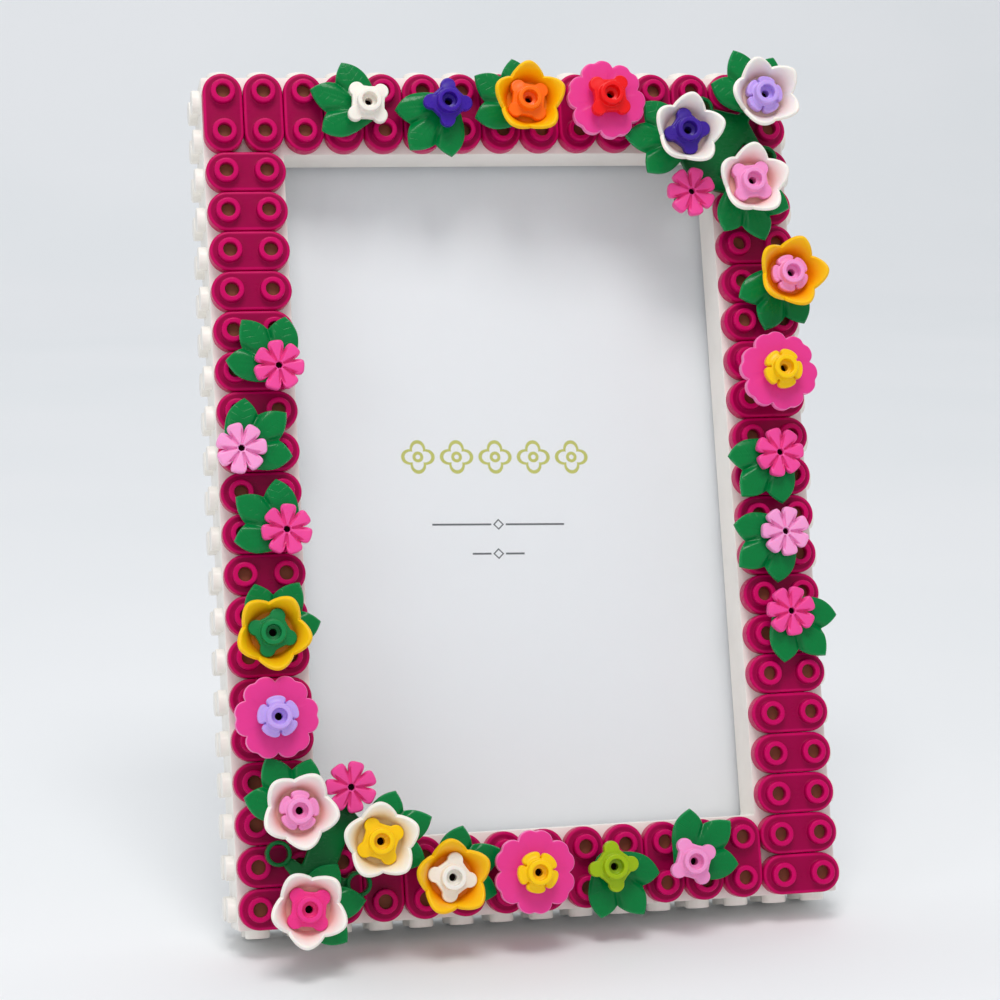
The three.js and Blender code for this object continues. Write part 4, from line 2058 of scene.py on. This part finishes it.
@dataclass
class FrameBack(Maker):
    """Back panel with its hinge lugs, pin, easel leg and turn buttons.

    Attributes:
        sheet: width and height of the panel.
        corner: radius of its corners.
        opened: how far the leg stands open.
        leg_length: from the hinge's axis to the foot.
        leg_half: half the leg's breadth at the hinge.
        leg_flare: how much further out its sides are at the foot.
        barrel_bore: radius of the bores on the hinge's axis.
        lug_x: distance of each lug from the middle.
        pin_radius: radius of the hinge pin.
        pin_half: half its length.
        button_x: distance of each turn button from the middle.
    """

    sheet: tuple[float, float] = (102.8, 153.8)
    corner: float = 1.0
    opened: float = math.radians(30)
    leg_length: float = 125.0
    leg_half: float = 8.5
    leg_flare: float = 15.5
    barrel_bore: float = 1.6
    lug_x: float = 11.5
    pin_radius: float = 1.2
    pin_half: float = 14.0
    button_x: float = 55.85

    def panel(self) -> Shell:
        """A flat board with a raised rim and a sunken field on its back.

        Returns:
            The closed board.
        """
        wide, tall = self.sheet
        inner_w, inner_h = wide - 9, tall - 9
        section = rounded([
            (wide * 0.5, tall * 0.5, -15.1), (inner_w - 1.2, inner_h - 1.2, -15.1),
            (inner_w, inner_h, -15.7), (wide, tall, -15.7), (wide, tall, -12.3),
            (wide * 0.5, tall * 0.5, -12.3)], [0.4, 0.3, 0.35, 0.3], 3)
        return Shell().skin([rectangle(w, h, out, self.corner) for w, h, out in section])

    def barrel(self, radius: float, half: float, x: float) -> Shell:
        """A bored barrel across the face, on the hinge's axis.

        Args:
            radius: its outer radius.
            half: half its length.
            x: its middle.

        Returns:
            The closed barrel.
        """
        bore = self.barrel_bore
        wall = rounded([(bore, 0.0), (bore, -half), (radius, -half), (radius, half),
                        (bore, half), (bore, 0.0)], [0.2, 0.35, 0.35, 0.2], 3)[:-1]
        return Shell().skin(about_hinge(wall, 40, x), Ends.RING)

    def lug(self, x: float) -> Shell:
        """Barrel and the foot that joins it to the panel.

        Args:
            x: its middle.

        Returns:
            Both in one shell.
        """
        base = np.array([[-2, -3.5], [2, -3.5], [2, 3.5], [-2, 3.5]])
        foot = [lift(base * size + np.array([x, HINGE_UP]), out)
                for size, out in ((0.99, -17.0), (1.0, -16.8), (1.0, -15.2), (0.99, -15.0))]
        return self.barrel(3.5, 2.0, x).add(Shell().skin(np.stack(foot)))

    def swung(self, points: Array) -> Array:
        """Turns the closed leg about the hinge to where it stands open.

        Args:
            points: x, and the distances up and out from the hinge's axis.

        Returns:
            Points in face coordinates.
        """
        c, s = math.cos(self.opened), math.sin(self.opened)
        turn = np.array([[1, 0, 0], [0, c, -s], [0, s, c]])
        return points @ turn.T + np.array([0, HINGE_UP, HINGE_OUT])

    def leg(self) -> Shell:
        """The leg: level slices across a tapered board, the last cut flat on the floor.

        A point that would pass below the floor stops where its own line meets it.

        Returns:
            The closed leg, standing open.
        """
        spread = np.linspace(0.06, 1.0, 16)
        ups = np.concatenate([[-2.0, -14.0], -14.0 - (self.leg_length - 14.0) * spread])
        halves = self.leg_half + self.leg_flare * np.concatenate([[0.0, 0.0], spread])
        corner, thick, web = 0.45, 1.5, 1.0
        right = np.array([
            (corner, thick), (3.2, thick), (3.8, web)])
        stack = []
        for up, half in zip(ups, halves):
            profile = np.array([
                (half, -thick + corner), (half, thick - corner),
                *[(half - d, out) for d, out in right], (0.0, web),
                *[(d - half, out) for d, out in right[::-1]],
                (-half, thick - corner), (-half, -thick + corner),
                *[(d - half, -out) for d, out in right], (0.0, -web),
                *[(half - d, -out) for d, out in right[::-1]]])
            flat = np.stack([profile[:, 0], np.full(len(profile), up), profile[:, 1]], -1)
            stack.append(self.swung(flat))
        slices = np.stack(stack)
        heights = self.shop.plane.to_row(slices)[..., 2] / MM
        floor = 0.02
        below = heights < floor
        fall = heights[1:] - heights[:-1]
        share = np.clip((floor - heights[:-1]) / np.where(fall == 0, -1, fall), 0, 1)
        landed = slices[:-1] + (slices[1:] - slices[:-1]) * share[..., None]
        for i in range(1, len(slices)):
            crossing = below[i] & ~below[i - 1]
            slices[i:, crossing] = landed[i - 1, crossing]
        return Shell().skin(slices[::-1][:, ::-1])

    def button(self, side: int) -> Shell:
        """A disc with a grip bar that points inwards over the panel.

        Args:
            side: -1 for the left one and 1 for the right one.

        Returns:
            The shell at its place.
        """
        disc = rounded([(0.4, -18.2), (3.9, -18.2), (3.9, -16.3), (1.4, -16.3),
                        (1.4, -11.3), (0.3, -11.3)], [0.35, 0.25, 0.0, 0.3], 3)
        shell = Shell().skin(rings(disc, even_angles(48)))
        arm = squared(circle(1.0, even_angles(36)), 0.5) * np.array([5.0, 2.3])
        middle = np.array([-5.0, 0.0])
        shell.skin(np.stack([lift(middle + arm * size, out) for size, out in (
            (0.94, -18.15), (1.0, -17.95), (1.0, -16.55), (0.94, -16.35))]))
        return shell.placed(side * self.button_x, 0, 0, 0 if side > 0 else 180)

    def pin(self) -> Shell:
        """The hinge pin, with domed ends.

        Returns:
            The closed pin.
        """
        line = rounded([(0.3, -self.pin_half), (self.pin_radius, -self.pin_half),
                        (self.pin_radius, self.pin_half), (0.3, self.pin_half)],
                       [0.5, 0.5], 4)
        return Shell().skin(about_hinge(line, 32, 0.0))

    def build(self) -> None:
        """Makes the back and sets each piece on its body."""
        board = [self.palette.get("back_board")]
        panel = self.panel().add(self.lug(-self.lug_x)).add(self.lug(self.lug_x))
        self.shop.build("panel_back", panel, board, "frame", "panel_board", ["back_panel"])
        self.shop.build("pin_hinge", self.pin(), [self.palette.get("drawn_steel")], "frame",
                        "pin_steel", ["hinge_pin"])
        leg = self.leg().add(self.barrel(3.2, self.leg_half, 0.0))
        self.shop.build("leg_easel", leg, board, "easel", "panel_board", ["easel_leg"])
        for side, word in ((-1, "left"), (1, "right")):
            self.shop.build(f"button_{word}", self.button(side),
                            [self.palette.get("button_plastic")], f"button_{word}",
                            "button_grey", [f"turn_button_{word}"])


# ==== Studio ====


@dataclass(frozen=True)
class Lamp:
    """A soft rectangular lamp.

    Attributes:
        name: its name.
        place: where it is, in metres.
        size: its width and height.
        power: in watts.
        colour: its colour.
        aim: the point that it faces.
    """

    name: str
    place: tuple[float, float, float]
    size: tuple[float, float]
    power: float
    colour: Colour = (1.0, 1.0, 1.0)
    aim: tuple[float, float, float] = (0.0, 0.0, 0.09)

    def hang(self) -> None:
        """Adds the lamp to the scene."""
        data = bpy.data.lights.new(self.name, "AREA")
        data.shape = "RECTANGLE"
        data.size, data.size_y = self.size
        data.energy, data.color = self.power, self.colour
        light = bpy.data.objects.new(self.name, data)
        light.location = self.place
        way = Vector(self.aim) - Vector(self.place)
        light.rotation_euler = way.to_track_quat("-Z", "Y").to_euler()
        bpy.context.scene.collection.objects.link(light)


@dataclass
class Studio:
    """Pale seamless floor, soft lamps and the camera.

    Attributes:
        plane: the face, whose coordinates the camera is given in.
        eye: the camera's place.
        right: the direction of its picture's right.
        down: the direction of its picture's lower edge.
        ahead: the direction that it looks in.
        focal: its focal length.
        sensor: its sensor's width.
        sky: colour of the room's light.
        sky_power: strength of the room's light.
        lamps: the lamps.
    """

    plane: FacePlane
    eye: tuple[float, float, float] = (-101.85, -60.45, 471.31)
    right: tuple[float, float, float] = (0.97892, -0.05823, 0.19578)
    down: tuple[float, float, float] = (-0.03330, -0.99118, -0.12829)
    ahead: tuple[float, float, float] = (0.20152, 0.11906, -0.97222)
    focal: float = 87.5
    sensor: float = 36.0
    sky: tuple[float, float, float, float] = (0.90, 0.925, 0.95, 1.0)
    sky_power: float = 0.62
    lamps: tuple[Lamp, ...] = (
        Lamp("overhead", (-0.06, -0.38, 0.82), (0.36, 0.28), 3.1, (1.0, 0.985, 0.97)),
        Lamp("side", (-0.75, -0.60, 0.50), (0.4, 0.4), 0.8),
        Lamp("wash", (0.0, 0.70, 1.60), (2.4, 0.5), 9.0, aim=(0.0, 2.0, 0.3)),
    )

    def camera(self) -> None:
        """Places the camera; its directions are given in face coordinates."""
        data = bpy.data.cameras.new("camera")
        data.lens, data.sensor_width = self.focal, self.sensor
        data.clip_start, data.clip_end = 0.02, 30.0
        camera = bpy.data.objects.new("camera", data)
        bpy.context.scene.collection.objects.link(camera)
        turn = self.plane.axes @ np.array([self.right, np.negative(self.down),
                                           np.negative(self.ahead)]).T
        place = self.plane.to_row(np.array(self.eye))
        camera.matrix_world = (Matrix.Translation(Vector(place))
                               @ Matrix(turn.tolist()).to_4x4())
        bpy.context.scene.camera = camera

    def floor_material(self) -> bpy.types.Material:
        """Pale matt paper with a faint tooth.

        Returns:
            The material.
        """
        g = Graph("seamless_paper")
        at = g.place()
        tone = g.ramp(g.noise(at, 0.004, 2.0), 0.3, 0.7)
        return g.close(g.node("BsdfPrincipled", {
            "Base Color": g.blend(tone, shade(243, 244, 246), shade(240, 242, 244)),
            "Roughness": 0.75,
            "Normal": g.bump(g.noise(at, 0.8, 3.0), 0.02, 0.3),
        }))

    def backdrop(self) -> None:
        """A sheet that runs back along the floor, then curves up."""
        t = np.linspace(0, math.pi / 2, 16)
        run = np.concatenate([[-3.0], 1.3 + 0.9 * np.sin(t), [2.2]])
        rise = np.concatenate([[0.0], 0.9 - 0.9 * np.cos(t), [3.5]])
        wide = np.linspace(-4, 4, 9)
        grid = np.stack(np.broadcast_arrays(wide[None], run[:, None], rise[:, None]), -1)
        rows, columns = grid.shape[:2]
        index = np.arange(rows * columns).reshape(rows, columns)
        quads = np.stack([index[:-1, :-1], index[:-1, 1:], index[1:, 1:], index[1:, :-1]], -1)
        mesh = bpy.data.meshes.new("backdrop")
        mesh.from_pydata(grid.reshape(-1, 3), [], quads.reshape(-1, 4).tolist())
        mesh.polygons.foreach_set("use_smooth", np.ones(len(mesh.polygons), bool))
        mesh.materials.append(self.floor_material())
        sheet = bpy.data.objects.new("backdrop", mesh)
        bpy.context.scene.collection.objects.link(sheet)

    def build(self) -> None:
        """Sets up the world, lamps, floor and camera."""
        scene = bpy.context.scene
        scene.view_settings.view_transform = "Standard"
        world = bpy.data.worlds.new("room")
        world.use_nodes = True
        sky = world.node_tree.nodes["Background"]
        sky.inputs["Color"].default_value = self.sky
        sky.inputs["Strength"].default_value = self.sky_power
        scene.world = world
        self.backdrop()
        for lamp in self.lamps:
            lamp.hang()
        self.camera()


def main() -> None:
    """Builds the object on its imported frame, then the studio round it."""
    logging.basicConfig(level=logging.INFO, format="%(name)s %(message)s")
    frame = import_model()
    plane = FacePlane.from_frame()
    shop = Workshop(plane)
    palette = Palette(plane)
    MouldedFrame(shop, palette).build()
    BorderPlates(shop, palette).build()
    Picture(frame["nodes"], palette).build()
    Garden(shop, palette).build()
    FrameBack(shop, palette).build()
    Studio(plane).build()
    LOG.info("%d pieces", shop.made)


if __name__ == "__main__":
    main()
